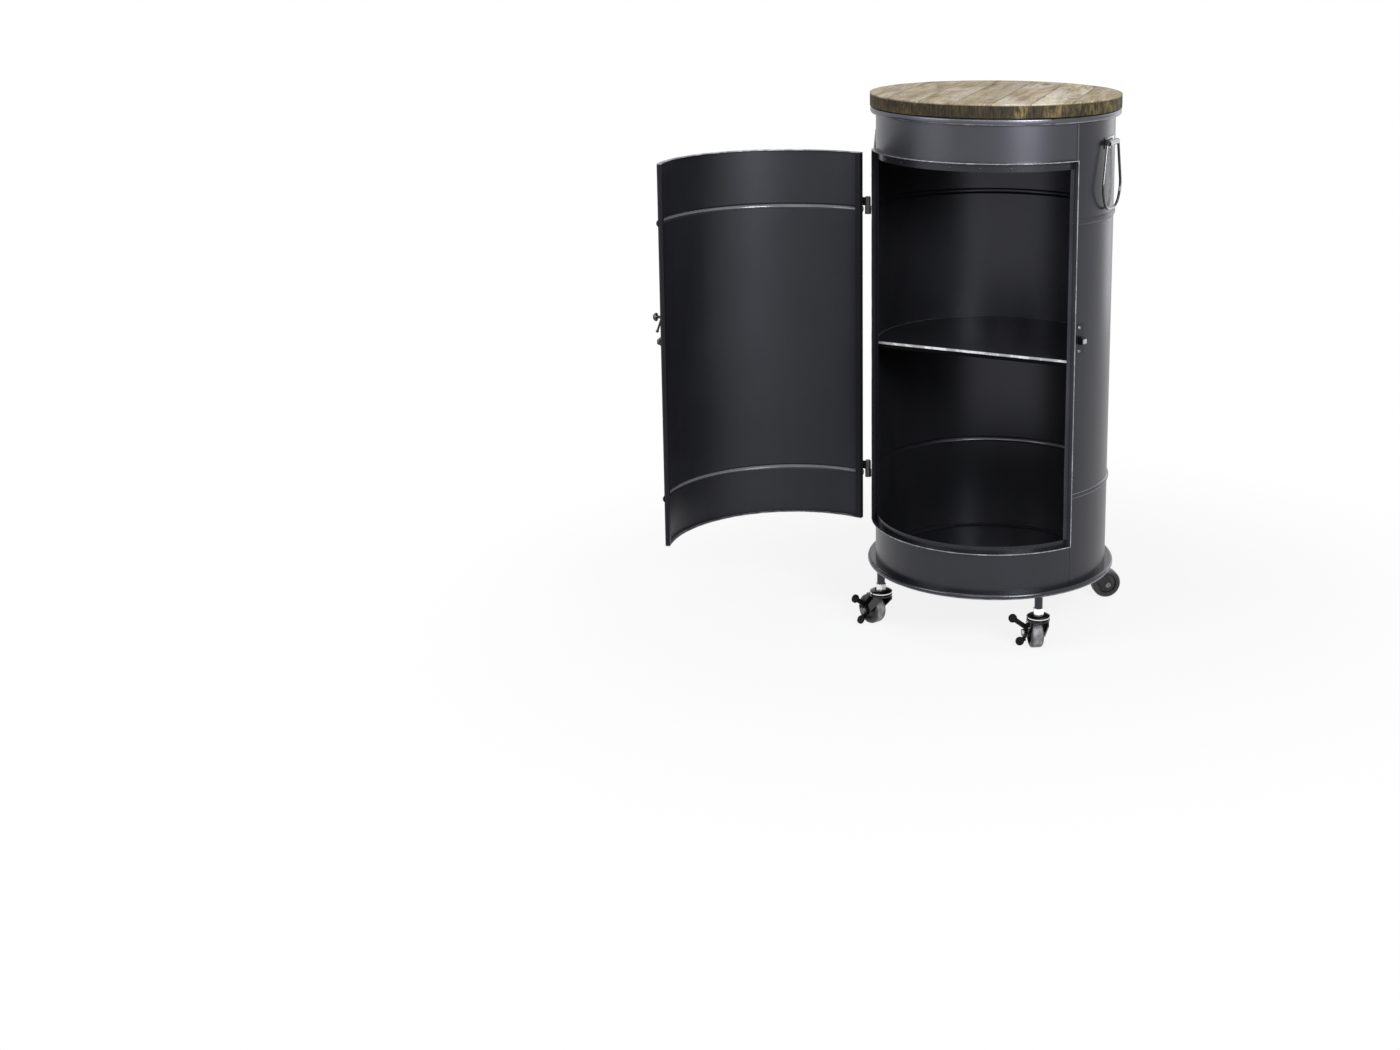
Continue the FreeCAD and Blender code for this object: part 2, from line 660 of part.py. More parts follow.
def knob():
    """Mushroom knob, turned, standing on the door's face."""
    top = KNOB_STAND + KNOB_T
    profile = [
        (0, 0), (KNOB_FOOT_R, 0), (KNOB_FOOT_R, KNOB_FOOT_T),
        (KNOB_NECK_R, 2 * KNOB_FOOT_T), (KNOB_NECK_R, KNOB_STAND), (KNOB_UNDER_R, KNOB_STAND),
        ((KNOB_R, KNOB_STAND + KNOB_WIDE_UP), (KNOB_SHOULDER_R, KNOB_STAND + KNOB_SHOULDER_UP)),
        ((KNOB_BROW_R, KNOB_STAND + KNOB_BROW_UP), (KNOB_TOP_R, top)),
        (0, top),
    ]
    solid = turned(profile)
    solid.rotate(vec(0, 0, 0), X, -HALF_TURN / 2)
    sink = DOOR_R - math.sqrt(DOOR_R ** 2 - KNOB_FOOT_R ** 2)
    place = tangent_frame(DOOR_R - sink, DOOR_B - arc_deg(KNOB_AT, DOOR_R), KNOB_Z)
    door_body = ring_part(0, DOOR_R, KNOB_Z - KNOB_R, KNOB_Z + KNOB_R)
    return close_to_open(placed(solid, place).cut(door_body))


def keeper_mid_deg():
    return OPEN_B + arc_deg(KEEPER_AT + KEEPER_W / 2, DRUM_R)


def keeper_shanks(radius):
    """Shanks of the keeper's two rivets, through the plate and the drum's sheet."""
    reach = KEEPER_H / 2 - RIVET_INSET
    shanks = []
    for z in (KEEPER_Z - reach, KEEPER_Z + reach):
        inside = polar(DRUM_R - SHEET - RIVET_HEAD_H / 2, keeper_mid_deg(), z)
        out = polar(1, keeper_mid_deg(), 0)
        shanks.append(Part.makeCylinder(radius, SHEET + LEAF_T + RIVET_HEAD_H, inside, out))
    return shanks


def keeper_plate():
    """Curved plate on the drum with the staple that takes the bolt."""
    deg = arc_deg(KEEPER_W, DRUM_R)
    start = keeper_mid_deg() - deg / 2
    plate = ring_part(DRUM_R, DRUM_R + LEAF_T, KEEPER_Z - KEEPER_H / 2,
                      KEEPER_Z + KEEPER_H / 2, start, deg)
    along = math.radians(keeper_mid_deg() - DOOR_B) * DOOR_R + BOLT_TANGENT
    staple = placed(strap(-along, STAPLE_W, GUIDE_HALF, BOLT_LIFT + WIRE_R, STAPLE_SIDE),
                    latch_frame())
    drum_body = ring_part(0, DRUM_R, LATCH_Z - KEEPER_H, LATCH_Z + KEEPER_H)
    staple = staple.cut(drum_body)
    return fused([plate, staple]).cut(group(keeper_shanks(RIVET_R + SEAT_CLEAR)))


def keeper_rivets():
    rivets = []
    for z, shank in zip((-1, 1), keeper_shanks(RIVET_R)):
        height = KEEPER_Z + z * (KEEPER_H / 2 - RIVET_INSET)
        out = polar(1, keeper_mid_deg(), 0)
        seat = polar(DRUM_R + LEAF_T, keeper_mid_deg(), height)
        head = Part.makeCone(RIVET_HEAD_R, RIVET_FACE_R, RIVET_HEAD_H, seat, out)
        rivets.append(fused([head, shank]))
    return group(rivets)


# ---------------------------------------------------------------- handles
def bail(side):
    """Wire handle with its two ends butted inside the sleeve. Side is +1 or -1."""
    x = side * BAIL_X
    top = BAIL_TOP_Z
    points = []
    for y, drop in ((BAIL_BUTT, 0), (BAIL_TOP_HALF, 0), (BAIL_WIDE_HALF, BAIL_WIDE_DROP),
                    (BAIL_FOOT_HALF, BAIL_DROP)):
        points.append(vec(x, y, top - drop))
    points += [vec(x, -p.y, p.z) for p in reversed(points)]
    corners = [BAIL_CORNER, BAIL_ROUND, BAIL_ROUND]
    return tube_on(points, BAIL_R, corners + corners[::-1])


def handle_bracket(side):
    """Sleeve for the bail on a plate that is bent to the drum."""
    middle = 0.0 if side > 0 else HALF_TURN
    half = math.degrees(math.asin(SLEEVE_HALF / DRUM_R))
    plate = ring_part(DRUM_R, DRUM_R + LEAF_T, BAIL_TOP_Z - STRAP_PLATE_H / 2,
                      BAIL_TOP_Z + STRAP_PLATE_H / 2, middle - half, 2 * half)
    start = vec(side * BAIL_X, -SLEEVE_HALF, BAIL_TOP_Z)
    sleeve = Part.makeCylinder(SLEEVE_R, 2 * SLEEVE_HALF, start, Y)
    rib = Part.makeBox(BAIL_X - DRUM_R + 2 * LEAF_T, 2 * SLEEVE_HALF, 2 * BAIL_R,
                       vec(-(BAIL_X - DRUM_R + 2 * LEAF_T) / 2, -SLEEVE_HALF, -BAIL_R))
    rib.translate(vec(side * (BAIL_X + DRUM_R - 2 * LEAF_T) / 2, 0, BAIL_TOP_Z))
    bore = Part.makeCylinder(BAIL_R + RUN_CLEAR, 2 * SLEEVE_HALF, start, Y)
    drum_body = ring_part(0, DRUM_R, BAIL_TOP_Z - STRAP_PLATE_H, BAIL_TOP_Z + STRAP_PLATE_H)
    return fused([plate, sleeve, rib]).cut(bore).cut(drum_body)


# ---------------------------------------------------------------- caster mountings
def at_stems(shape):
    """Copies of a shape made on the Z axis, one at each caster."""
    copies = []
    for place, _ in CASTERS.values():
        copy = shape.copy()
        copy.translate(polar(STEM_CIRCLE_R, place, 0))
        copies.append(copy)
    return group(copies)


def stem_socket():
    tube = ring_part(0, STEM_R, STEM_BOTTOM_Z, DRUM_BOTTOM_Z)
    return tube.cut(Part.makeCylinder(STUD_R + SEAT_CLEAR, STUD_UP + SEAT_CLEAR,
                                      vec(0, 0, STEM_BOTTOM_Z), Z))


def caster_stud():
    """Stud from the socket down through the fork's crown, with a riveted lower head."""
    low = CROWN_BOTTOM_Z - RACE_GAP / 2
    shank = Part.makeCylinder(STUD_R, STEM_BOTTOM_Z + STUD_UP - low, vec(0, 0, low), Z)
    head = Part.makeCone(STUD_R, STUD_HEAD_R, FORK_T, vec(0, 0, low - FORK_T), Z)
    return fused([head, shank])


def caster_nut():
    nut = hexagon(NUT_AF, NUT_H, vec(0, 0, CAP_TOP_Z))
    return nut.cut(Part.makeCylinder(STUD_R + SEAT_CLEAR, NUT_H, vec(0, 0, CAP_TOP_Z), Z))


def caster_cap():
    """Dished cap over the fork's bearing."""
    bore = STUD_R + SEAT_CLEAR
    shoulder = CAP_BOTTOM_Z + CAP_SKIRT
    return turned([
        (bore, CAP_BOTTOM_Z), (CAP_R, CAP_BOTTOM_Z), (CAP_R, shoulder),
        (((CAP_R + CAP_TOP_R) / 2, (shoulder + CAP_TOP_Z) / 2 + SHEET / 2), (CAP_TOP_R, CAP_TOP_Z)),
        (bore, CAP_TOP_Z),
    ])


# ---------------------------------------------------------------- casters
def at_caster(name, shape):
    """From the caster's own frame (stem on Z, wheel trailing along +X) to its place."""
    place, trail = CASTERS[name]
    out = shape.copy()
    out.rotate(vec(0, 0, 0), Z, trail)
    out.translate(polar(STEM_CIRCLE_R, place, 0))
    return out


def axle_at(y):
    return vec(TRAIL, y, WHEEL_R)


def fork():
    """Crown with the lower race, and two legs that lean back to the axle."""
    crown = ring_part(STUD_R + RUN_CLEAR, RACE_R, CROWN_BOTTOM_Z, RACE_TOP_Z)
    disc = ring_part(STUD_R + RUN_CLEAR, CAP_R, CROWN_BOTTOM_Z, CROWN_TOP_Z)
    deck = Part.makeBox(FORK_REACH + FORK_BACK, 2 * LEG_OUT_Y, FORK_T,
                        vec(-FORK_BACK, -LEG_OUT_Y, CROWN_BOTTOM_Z))
    deck = deck.cut(Part.makeCylinder(STUD_R + RUN_CLEAR, CROWN_TOP_Z, vec(0, 0, 0), Z))
    tip = Part.makeCylinder(LEG_END_R, FORK_T, axle_at(0), Y)
    heel = math.radians(LEG_HEEL)
    leg = Part.Face(Part.makePolygon([
        vec(-FORK_BACK, 0, CROWN_TOP_Z), vec(FORK_REACH, 0, CROWN_TOP_Z),
        vec(FORK_REACH, 0, CROWN_BOTTOM_Z - LEG_END_R / 2),
        vec(TRAIL + LEG_END_R, 0, WHEEL_R),
        vec(TRAIL - LEG_END_R * math.cos(heel), 0, WHEEL_R - LEG_END_R * math.sin(heel)),
        vec(-FORK_BACK, 0, CROWN_BOTTOM_Z - LEG_END_R),
        vec(-FORK_BACK, 0, CROWN_TOP_Z),
    ])).extrude(vec(0, FORK_T, 0))
    side = leg.fuse(tip).cut(Part.makeCylinder(AXLE_R + SEAT_CLEAR, FORK_T, axle_at(0), Y))
    sides = []
    for y in (-LEG_OUT_Y, LEG_IN_Y):
        copy = side.copy()
        copy.translate(vec(0, y, 0))
        sides.append(copy)
    return fused([crown, disc, deck] + sides)


def wheel_turned(profile):
    """A section turned about the wheel's axle. Its X is the radius, its Z runs along Y."""
    solid = turned(profile)
    solid.rotate(vec(0, 0, 0), X, HALF_TURN / 2)
    solid.translate(axle_at(0))
    return solid


def wheel_hub():
    """Disc hub with a thick rim and a boss that turns on the axle."""
    rim_out = WHEEL_R - TYRE_T
    rim_in = rim_out - HUB_RIM
    return wheel_turned([
        (AXLE_R + RUN_CLEAR, -HUB_BOSS_W / 2), (HUB_BOSS_R, -HUB_BOSS_W / 2),
        (HUB_BOSS_R, -HUB_WEB / 2), (rim_in, -HUB_WEB / 2), (rim_in + HUB_FLARE, -HUB_W / 2),
        (rim_out, -HUB_W / 2), (rim_out, HUB_W / 2), (rim_in + HUB_FLARE, HUB_W / 2),
        (rim_in, HUB_WEB / 2), (HUB_BOSS_R, HUB_WEB / 2), (HUB_BOSS_R, HUB_BOSS_W / 2),
        (AXLE_R + RUN_CLEAR, HUB_BOSS_W / 2),
    ])


def tyre():
    half = WHEEL_W / 2
    k = TYRE_ROUND * ROUND_MID
    inner = WHEEL_R - TYRE_T
    return wheel_turned([
        (inner, -half), (WHEEL_R - TYRE_ROUND, -half),
        ((WHEEL_R - k, -half + k), (WHEEL_R, -half + TYRE_ROUND)),
        (WHEEL_R, half - TYRE_ROUND),
        ((WHEEL_R - k, half - k), (WHEEL_R - TYRE_ROUND, half)),
        (inner, half),
    ])


def axle():
    """Bolt through both legs, the wheel and the brake lever, with its nut."""
    nut_y = LEVER_OUT_Y + LEVER_GAP
    shank = Part.makeCylinder(AXLE_R, nut_y + AXLE_NUT_H + LEG_OUT_Y, axle_at(-LEG_OUT_Y), Y)
    face = axle_at(-LEG_OUT_Y - AXLE_HEAD_H)
    head = Part.makeCone(AXLE_FACE_R, AXLE_HEAD_R, AXLE_HEAD_H, face, Y)
    dimple = Part.makeCylinder(DIMPLE_R, DIMPLE_H, face, Y)
    nut = hexagon(AXLE_NUT_AF, AXLE_NUT_H, axle_at(nut_y), Y)
    return fused([shank, head, nut]).cut(dimple)


def wing(length, tilt, root):
    """Paddle across the wheel's plane: a neck from the lever's arm and a round end."""
    neck = Part.makeBox(WING_T, length, WING_NECK, vec(-WING_T / 2, 0, -WING_NECK / 2))
    end = Part.makeCylinder(WING_R, WING_T, vec(-WING_T / 2, length, 0), X)
    paddle = neck.fuse(end)
    paddle.rotate(vec(0, 0, 0), X, tilt)
    paddle.translate(vec(TRAIL, LEVER_IN_Y, WHEEL_R + root))
    return paddle


def brake_lever():
    """Rocker on the axle's end, with a wing to kick above the axle and one below."""
    hub = Part.makeCylinder(LEVER_HUB_R, LEVER_T, axle_at(LEVER_IN_Y), Y)
    arm = Part.makeBox(LEVER_ARM_W, LEVER_T, 2 * LEVER_ARM,
                       vec(TRAIL - LEVER_ARM_W / 2, LEVER_IN_Y, WHEEL_R - LEVER_ARM))
    wings = [wing(WING_UP_L, WING_UP_TILT, WING_ROOT), wing(WING_DOWN_L, WING_DOWN_TILT, -WING_ROOT)]
    outside = Part.makeBox(4 * WHEEL_R, 4 * WHEEL_R, 4 * WHEEL_R,
                           vec(-WHEEL_R, LEVER_IN_Y, -WHEEL_R))
    bore = Part.makeCylinder(AXLE_R + RUN_CLEAR, LEVER_T, axle_at(LEVER_IN_Y), Y)
    return fused([hub, arm] + wings).common(outside).cut(bore)


# ---------------------------------------------------------------- all sub-parts
def main():
    os.makedirs("parts", exist_ok=True)
    save("drum_wrapper", drum_wrapper())
    save("upper_apron", upper_apron())
    save("lower_apron", lower_apron())
    save("base_ring", rolled(RING_R, DRUM_BOTTOM_Z, RING_H, RING_ROLL))
    save("top_rim", rolled(RIM_R, RIM_BOTTOM_Z, RIM_H, RIM_ROLL))
    save("floor_plate", floor_plate())
    save("top_plate", top_plate())
    save("lid_planks", lid_planks())
    save("lid_screws", lid_screws())
    save("frame_sill", frame_sill())
    save("frame_lintel", frame_lintel())
    save("frame_jamb_left", frame_jamb(OPEN_A, 1))
    save("frame_jamb_right", frame_jamb(OPEN_B, -1))
    save("shelf", shelf())
    save("door_panel", door_panel())
    for label, mid in zip(("lower", "upper"), HINGE_LEVELS):
        save("hinge_leaf_body_" + label, hinge_leaf_body(mid))
        save("hinge_leaf_door_" + label, hinge_leaf_door(mid))
    save("hinge_pins", hinge_pins())
    save("bolt_guides", bolt_guides())
    save("bolt_rod", bolt_rod())
    save("knob", knob())
    save("keeper_plate", keeper_plate())
    save("keeper_rivets", keeper_rivets())
    for label, side in (("left", -1), ("right", 1)):
        save("handle_bracket_" + label, handle_bracket(side))
        save("handle_bail_" + label, bail(side))
    save("stem_sockets", at_stems(stem_socket()))
    save("caster_studs", at_stems(caster_stud()))
    save("caster_nuts", at_stems(caster_nut()))
    save("caster_caps", at_stems(caster_cap()))
    pieces = {"fork": fork(), "axle": axle(), "wheel_hub": wheel_hub(), "tyre": tyre(),
              "brake_lever": brake_lever()}
    for place in CASTERS:
        for piece, shape in pieces.items():
            save(piece + "_" + place, at_caster(place, shape))


main()
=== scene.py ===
# %% [markdown]
# # A drum bar cabinet, dressed for the studio
# The cabinet's working parts come ready made, as a frame of named pieces with joints. This
# lesson gives each piece its finish, replaces the plain lid with worn boards, adds the small
# weld marks and the print on the back, and sets up a plain studio around it.

# %% Load the frame
import json
import math
from functools import reduce

import bmesh
import bpy
from mathutils import Matrix, Vector, noise


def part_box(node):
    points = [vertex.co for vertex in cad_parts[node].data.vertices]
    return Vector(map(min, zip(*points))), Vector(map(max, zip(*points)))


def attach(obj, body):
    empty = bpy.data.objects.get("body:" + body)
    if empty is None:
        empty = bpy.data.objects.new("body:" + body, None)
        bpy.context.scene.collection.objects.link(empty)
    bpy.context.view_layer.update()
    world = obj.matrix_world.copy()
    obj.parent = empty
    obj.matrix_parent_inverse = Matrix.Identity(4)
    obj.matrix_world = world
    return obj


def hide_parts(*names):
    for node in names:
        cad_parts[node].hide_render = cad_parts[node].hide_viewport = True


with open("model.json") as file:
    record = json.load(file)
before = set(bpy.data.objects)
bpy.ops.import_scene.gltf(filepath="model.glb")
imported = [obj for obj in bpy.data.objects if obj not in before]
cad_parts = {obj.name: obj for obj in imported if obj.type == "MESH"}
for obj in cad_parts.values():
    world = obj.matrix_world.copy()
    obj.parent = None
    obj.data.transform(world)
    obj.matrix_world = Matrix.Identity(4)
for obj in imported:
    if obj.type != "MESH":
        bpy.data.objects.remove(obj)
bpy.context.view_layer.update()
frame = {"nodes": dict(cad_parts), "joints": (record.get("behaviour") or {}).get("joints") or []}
nodes = frame["nodes"]

# %% [markdown]
# ## Sizes that the dressing needs
# The sizes are read from the frame's own boxes, so the dressing follows the working parts. Three
# small ones, which no box shows, are written out. The drum's axis is the Z axis. The door stands
# open, so its own axis has swung away with it: it is the drum's axis turned about the hinge pin.

# %% Sizes from the frame
MM = 0.001
drum_high = Vector(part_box("drum_wrapper")[1])
caps_low = Vector(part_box("caster_caps")[0])
lid_low, lid_high = map(Vector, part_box("lid_planks"))
rim_low, rim_high = map(Vector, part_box("top_rim"))
ring_low, ring_high = map(Vector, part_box("base_ring"))
door_low, door_high = map(Vector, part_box("door_panel"))
sill_low, sill_high = map(Vector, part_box("frame_sill"))
lintel_low = Vector(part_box("frame_lintel")[0])
shelf_low, shelf_high = map(Vector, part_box("shelf"))
joints = {joint["name"]: joint for joint in frame["joints"]}

BEAD_RISE = 2.6 * MM
SHEET = 1.0 * MM
DOOR_INSET = 1.0 * MM
SHELF_FRONT = shelf_low.y
KEEPER_R = max(vertex.co.xy.length for vertex in nodes["keeper_plate"].data.vertices)
DRUM_R = drum_high.y - BEAD_RISE
LID_R = lid_high.x
COLLAR_R = -sill_low.y
DOOR_R = COLLAR_R - DOOR_INSET
OPENING_HALF = math.degrees(math.atan2(sill_high.x, -sill_high.y))
hinge_pin = Vector(joints["door_swing"]["pos_m"]).xy
door_swing = math.radians(joints["door_swing"]["range_deg"][1])
door_axis = hinge_pin - Matrix.Rotation(-door_swing, 2) @ hinge_pin
print("drum radius", round(DRUM_R, 4), "doorway half angle", round(OPENING_HALF, 2))
print("open door's axis", [round(v, 4) for v in door_axis])

# %% [markdown]
# ## Shader maths as plain expressions
# A finish is easier to read as `worn = (radius > edge) * noise` than as a dozen node calls. The
# small class below wraps a socket, and its operators add the Math nodes. Anything else, such as
# a noise or a ramp, comes from one method that sets the node's options first and its inputs
# after them. Two helpers that later cells share follow.

# %% Sockets with operators
class Value:
    """A number that varies over a surface."""

    def __init__(self, tree, socket):
        self.tree = tree
        self.socket = socket

    def math(self, operation, *others):
        return self.tree.node("ShaderNodeMath", {"operation": operation}, self, *others)

    def __add__(self, other):
        return self.math("ADD", other)

    def __mul__(self, other):
        return self.math("MULTIPLY", other)

    def __sub__(self, other):
        return self.math("SUBTRACT", other)

    def __truediv__(self, other):
        return self.math("DIVIDE", other)

    def __rsub__(self, other):
        return (self * -1.0) + other

    def __gt__(self, other):
        return self.math("GREATER_THAN", other)

    def __lt__(self, other):
        return self.math("LESS_THAN", other)

    __radd__ = __add__
    __rmul__ = __mul__

    def abs(self):
        return self.math("ABSOLUTE")

    def fract(self):
        return self.math("FRACT")

    def least(self, other):
        return self.math("MINIMUM", other)

    def most(self, other):
        return self.math("MAXIMUM", other)

    def rise(self, low, high):
        """0 below low, 1 above high, with a soft step between them."""
        settings = {"interpolation_type": "SMOOTHSTEP"}
        return self.tree.node("ShaderNodeMapRange", settings, self, low, high, 0.0, 1.0)

    def band(self, middle, half, soft):
        """1 within half of the middle, 0 further off than half plus soft."""
        return 1.0 - (self - middle).abs().rise(half, half + soft)


class Tree:
    """A material's nodes, with a method for every node."""

    def __init__(self, name):
        self.material = bpy.data.materials.new(name)
        self.material.use_nodes = True
        self.nodes = self.material.node_tree.nodes
        self.links = self.material.node_tree.links
        self.shader = self.nodes["Principled BSDF"]
        self.output = self.nodes["Material Output"]

    def feed(self, socket, value):
        if isinstance(value, Value):
            self.links.new(value.socket, socket)
        else:
            socket.default_value = value

    def node(self, kind, settings, *values, out=0, **named):
        """Add a node: its options, then its inputs in order or by name."""
        node = self.nodes.new(kind)
        for key, value in settings.items():
            setattr(node, key, value)
        for socket, value in zip(node.inputs, values):
            if value is not None:
                self.feed(socket, value)
        for key, value in named.items():
            self.feed(node.inputs[key.replace("_", " ")], value)
        return Value(self, node.outputs[out])

    def place(self):
        return self.node("ShaderNodeTexCoord", {}, out=3)

    def parts(self, vector):
        split = self.nodes.new("ShaderNodeSeparateXYZ")
        self.feed(split.inputs[0], vector)
        return [Value(self, socket) for socket in split.outputs]

    def join(self, x, y, z):
        return self.node("ShaderNodeCombineXYZ", {}, x, y, z)

    def shifted(self, vector, location=(0, 0, 0), turn=0.0, scale=(1, 1, 1)):
        return self.node("ShaderNodeMapping", {"vector_type": "POINT"}, vector, location,
                         (0, 0, turn), scale)

    def noise(self, vector, scale, detail=2.0, rough=0.5):
        return self.node("ShaderNodeTexNoise", {}, vector, None, scale, detail, rough)

    def mix(self, factor, a, b):
        """Colour a where the factor is 0, colour b where it is 1."""
        node = self.nodes.new("ShaderNodeMix")
        node.data_type = "RGBA"
        self.feed(node.inputs[0], factor)
        self.feed(node.inputs[6], a)
        self.feed(node.inputs[7], b)
        return Value(self, node.outputs[2])

    def bump(self, height, strength, distance):
        return self.node("ShaderNodeBump", {}, Strength=strength, Distance=distance,
                         Height=height)

    def set(self, **inputs):
        for key, value in inputs.items():
            self.feed(self.shader.inputs[key.replace("_", " ")], value)
        return self.material


def grey(level):
    return (level, level, level, 1.0)


def show(name, data):
    """A new object at the origin, in the scene."""
    piece = bpy.data.objects.new(name, data)
    bpy.context.scene.collection.objects.link(piece)
    return piece


def background_rays(nodes, links):
    """1 for rays from the camera and for mirrored or refracted ones, 0 for the others."""
    paths = nodes.new("ShaderNodeLightPath").outputs
    seen = paths["Is Camera Ray"]
    for name in ("Is Glossy Ray", "Is Transmission Ray"):
        most = nodes.new("ShaderNodeMath")
        most.operation = "MAXIMUM"
        links.new(seen, most.inputs[0])
        links.new(paths[name], most.inputs[1])
        seen = most.outputs[0]
    return seen


# %% [markdown]
# ## Satin paint on sheet steel
# The cabinet is sprayed charcoal, thin enough for the metal to show through as a broad soft
# sheen. It isn't one grey: the tone drifts over a hand's width and fine specks catch the light.
# Thin pale lines of metal along edges and on the beads are painted highlights, and folds get
# painted shade. A function makes the paint, and each use of it says where those painted marks
# are, as a mask from the distance to the drum's axis.

# %% The paint
CHARCOAL_DARK = (0.0034, 0.0035, 0.0042)
CHARCOAL_LIGHT = (0.0058, 0.0059, 0.0070)
# Black for real joints, and for painted shade on folds.
JOINT_AND_SHADE_BLACK = grey(0.004)
# A pale painted highlight on the drum's seams above the doorway.
SEAM_HIGHLIGHT_GREY = (0.12, 0.118, 0.115, 1.0)
# The beads' pale, partly metal line is a painted highlight.
BEAD_HIGHLIGHT_GREY = (0.46, 0.46, 0.48, 1.0)
BEAD_SHEEN = 0.18
BEAD_HIGHLIGHT_SHARE = 0.22
# Pale metal for thin painted highlights along edges.
EDGE_HIGHLIGHT_STEEL = (0.68, 0.68, 0.70, 1.0)
COOL_MIRROR = (0.86, 0.87, 1.0, 1.0)


def radius_about(tree, axis=(0.0, 0.0)):
    """Distance from an upright axis, and the height."""
    x, y, z = tree.parts(tree.place())
    dx = x - axis[0]
    dy = y - axis[1]
    return (dx * dx + dy * dy).math("SQRT"), z


def steel_paint(name, sheen, gloss, edge_highlight=None, joint_and_shade=None, beads=None, painted_light_lift=1.0):
    """Charcoal paint. Gloss is the share of light it mirrors when looked at straight.

    Three functions give masks from the tree: thin pale lines of metal along edges, which are
    painted highlights; dark joints, with painted shade on folds and a pale painted highlight on
    the drum's seams; and painted highlights on the beads. The last factor makes it paler, a lit
    copy of the paint, which is painted light.
    """
    tree = Tree(name)
    spot = tree.place()
    drift = tree.noise(spot, 6.0, 3.0, 0.55)
    brushed = tree.noise(tree.shifted(spot, scale=(9.0, 9.0, 0.8)), 9.0, 4.0, 0.6)
    speck = tree.noise(spot, 420.0, 2.0, 0.6)
    # The last factor can make the charcoal paler: a lit copy of the paint, which is painted
    # light.
    dark, light = ([part * painted_light_lift for part in colour] + [1.0]
                   for colour in (CHARCOAL_DARK, CHARCOAL_LIGHT))
    colour = tree.mix((drift * 0.65 + brushed * 0.35).rise(0.32, 0.68), dark, light)
    rough = sheen + (drift - 0.5) * 0.10 + (speck - 0.5) * 0.06
    height = speck * 0.35 + brushed * 0.4
    metals = []
    # Joint masks darken real joints, and also paint shade on folds.
    if joint_and_shade is not None:
        line, seam_highlight = joint_and_shade(tree)
        metals.append(line * (1.0 - seam_highlight))
        colour = tree.mix(line, colour, JOINT_AND_SHADE_BLACK)
        # The pale line on the drum's seams above the doorway is a painted highlight.
        colour = tree.mix(line * seam_highlight, colour, SEAM_HIGHLIGHT_GREY)
        rough = rough + line * 0.2
    # A smoother, paler and partly metal line on the beads: a painted highlight.
    if beads is not None:
        bead_highlight = beads(tree)
        metals.append(bead_highlight * BEAD_HIGHLIGHT_SHARE)
        rough = rough - bead_highlight * (sheen - BEAD_SHEEN)
        colour = tree.mix(bead_highlight * BEAD_HIGHLIGHT_SHARE, colour, BEAD_HIGHLIGHT_GREY)
    # Edge masks give thin pale lines of metal, broken into pieces: painted highlights.
    if edge_highlight is not None:
        chips = tree.noise(spot, 60.0, 4.0, 0.65)
        worn_and_lit = edge_highlight(tree) * (0.40 + chips.rise(0.42, 0.64) * 0.60)
        metals.append(worn_and_lit)
        colour = tree.mix(worn_and_lit, colour, EDGE_HIGHLIGHT_STEEL)
    if metals:
        tree.set(Metallic=reduce(Value.most, metals))
    mirror = math.sqrt(gloss)
    return tree.set(Base_Color=colour, Roughness=rough, Specular_Tint=COOL_MIRROR,
                    IOR=(1 + mirror) / (1 - mirror), Normal=tree.bump(height, 0.06, 0.0004))


def drum_seams(tree):
    """The upright joints of wrapper and aprons: a dark joint line, with a pale painted highlight
    on it above the doorway.
    """
    x, y, z = tree.parts(tree.place())
    half = math.radians(OPENING_HALF)
    off = (x.abs() * math.cos(half) + y * math.sin(half)).abs()
    return (1.0 - off.rise(0.35 * MM, 0.75 * MM)) * 0.6, z > lintel_low.z


def groove(radius, skin):
    """The bottom of a rolled bead's groove, which is seen from the concave side."""
    crest = skin + BEAD_RISE - SHEET
    return radius.rise(crest - 0.6 * MM, crest - 0.2 * MM) * (crest + 0.15 * MM > radius)


def drum_beads(tree):
    """A painted highlight on the lower bead only, and less of it behind the hinges."""
    east, _, _ = tree.parts(tree.place())
    radius, height = radius_about(tree)
    below = 1.0 - height.rise(shelf_low.z - 9 * MM, shelf_low.z)
    return groove(radius, DRUM_R) * below * east.rise(-155 * MM, -70 * MM)


def door_beads(tree):
    """A painted highlight on both of the door's beads, on its hollow side."""
    return groove(radius_about(tree, door_axis)[0], DOOR_R)


def ring_highlight(tree):
    """A thin line of pale metal low on the base ring's outside: a painted highlight."""
    radius, height = radius_about(tree)
    low = 1.0 - height.rise(ring_low.z + 1.6 * MM, ring_low.z + 3.2 * MM)
    return radius.rise(ring_high.x - 1.8 * MM, ring_high.x - 1.0 * MM) * low * 0.5


def rim_highlight(tree):
    """A thin line of pale metal low on the top rim's outside: a painted highlight."""
    radius, height = radius_about(tree)
    low = 1.0 - height.rise(rim_low.z + 1.2 * MM, rim_low.z + 2.6 * MM)
    return radius.rise(rim_high.x - 2.4 * MM, rim_high.x - 1.4 * MM) * low * 0.5


def collar_highlight(tree):
    """A line of pale metal along the very edge of the doorway's collar: a painted highlight."""
    radius, _ = radius_about(tree)
    return radius.rise(COLLAR_R - 0.8 * MM, COLLAR_R - 0.3 * MM) * 0.55


def door_highlight(tree):
    """A line of pale metal along the door's upper and lower edges: a painted highlight."""
    radius, height = radius_about(tree, door_axis)
    low = 1.0 - height.rise(door_low.z + 0.5 * MM, door_low.z + 1.3 * MM)
    high = height.rise(door_high.z - 1.3 * MM, door_high.z - 0.5 * MM)
    return low.most(high) * 0.6


def door_fold_shade(tree):
    """The turned-in edges behind the sheet are made darker and duller: painted shade."""
    radius, _ = radius_about(tree, door_axis)
    return (1.0 - radius.rise(DOOR_R - 2.4 * MM, DOOR_R - 1.6 * MM)) * 0.5, 0.0


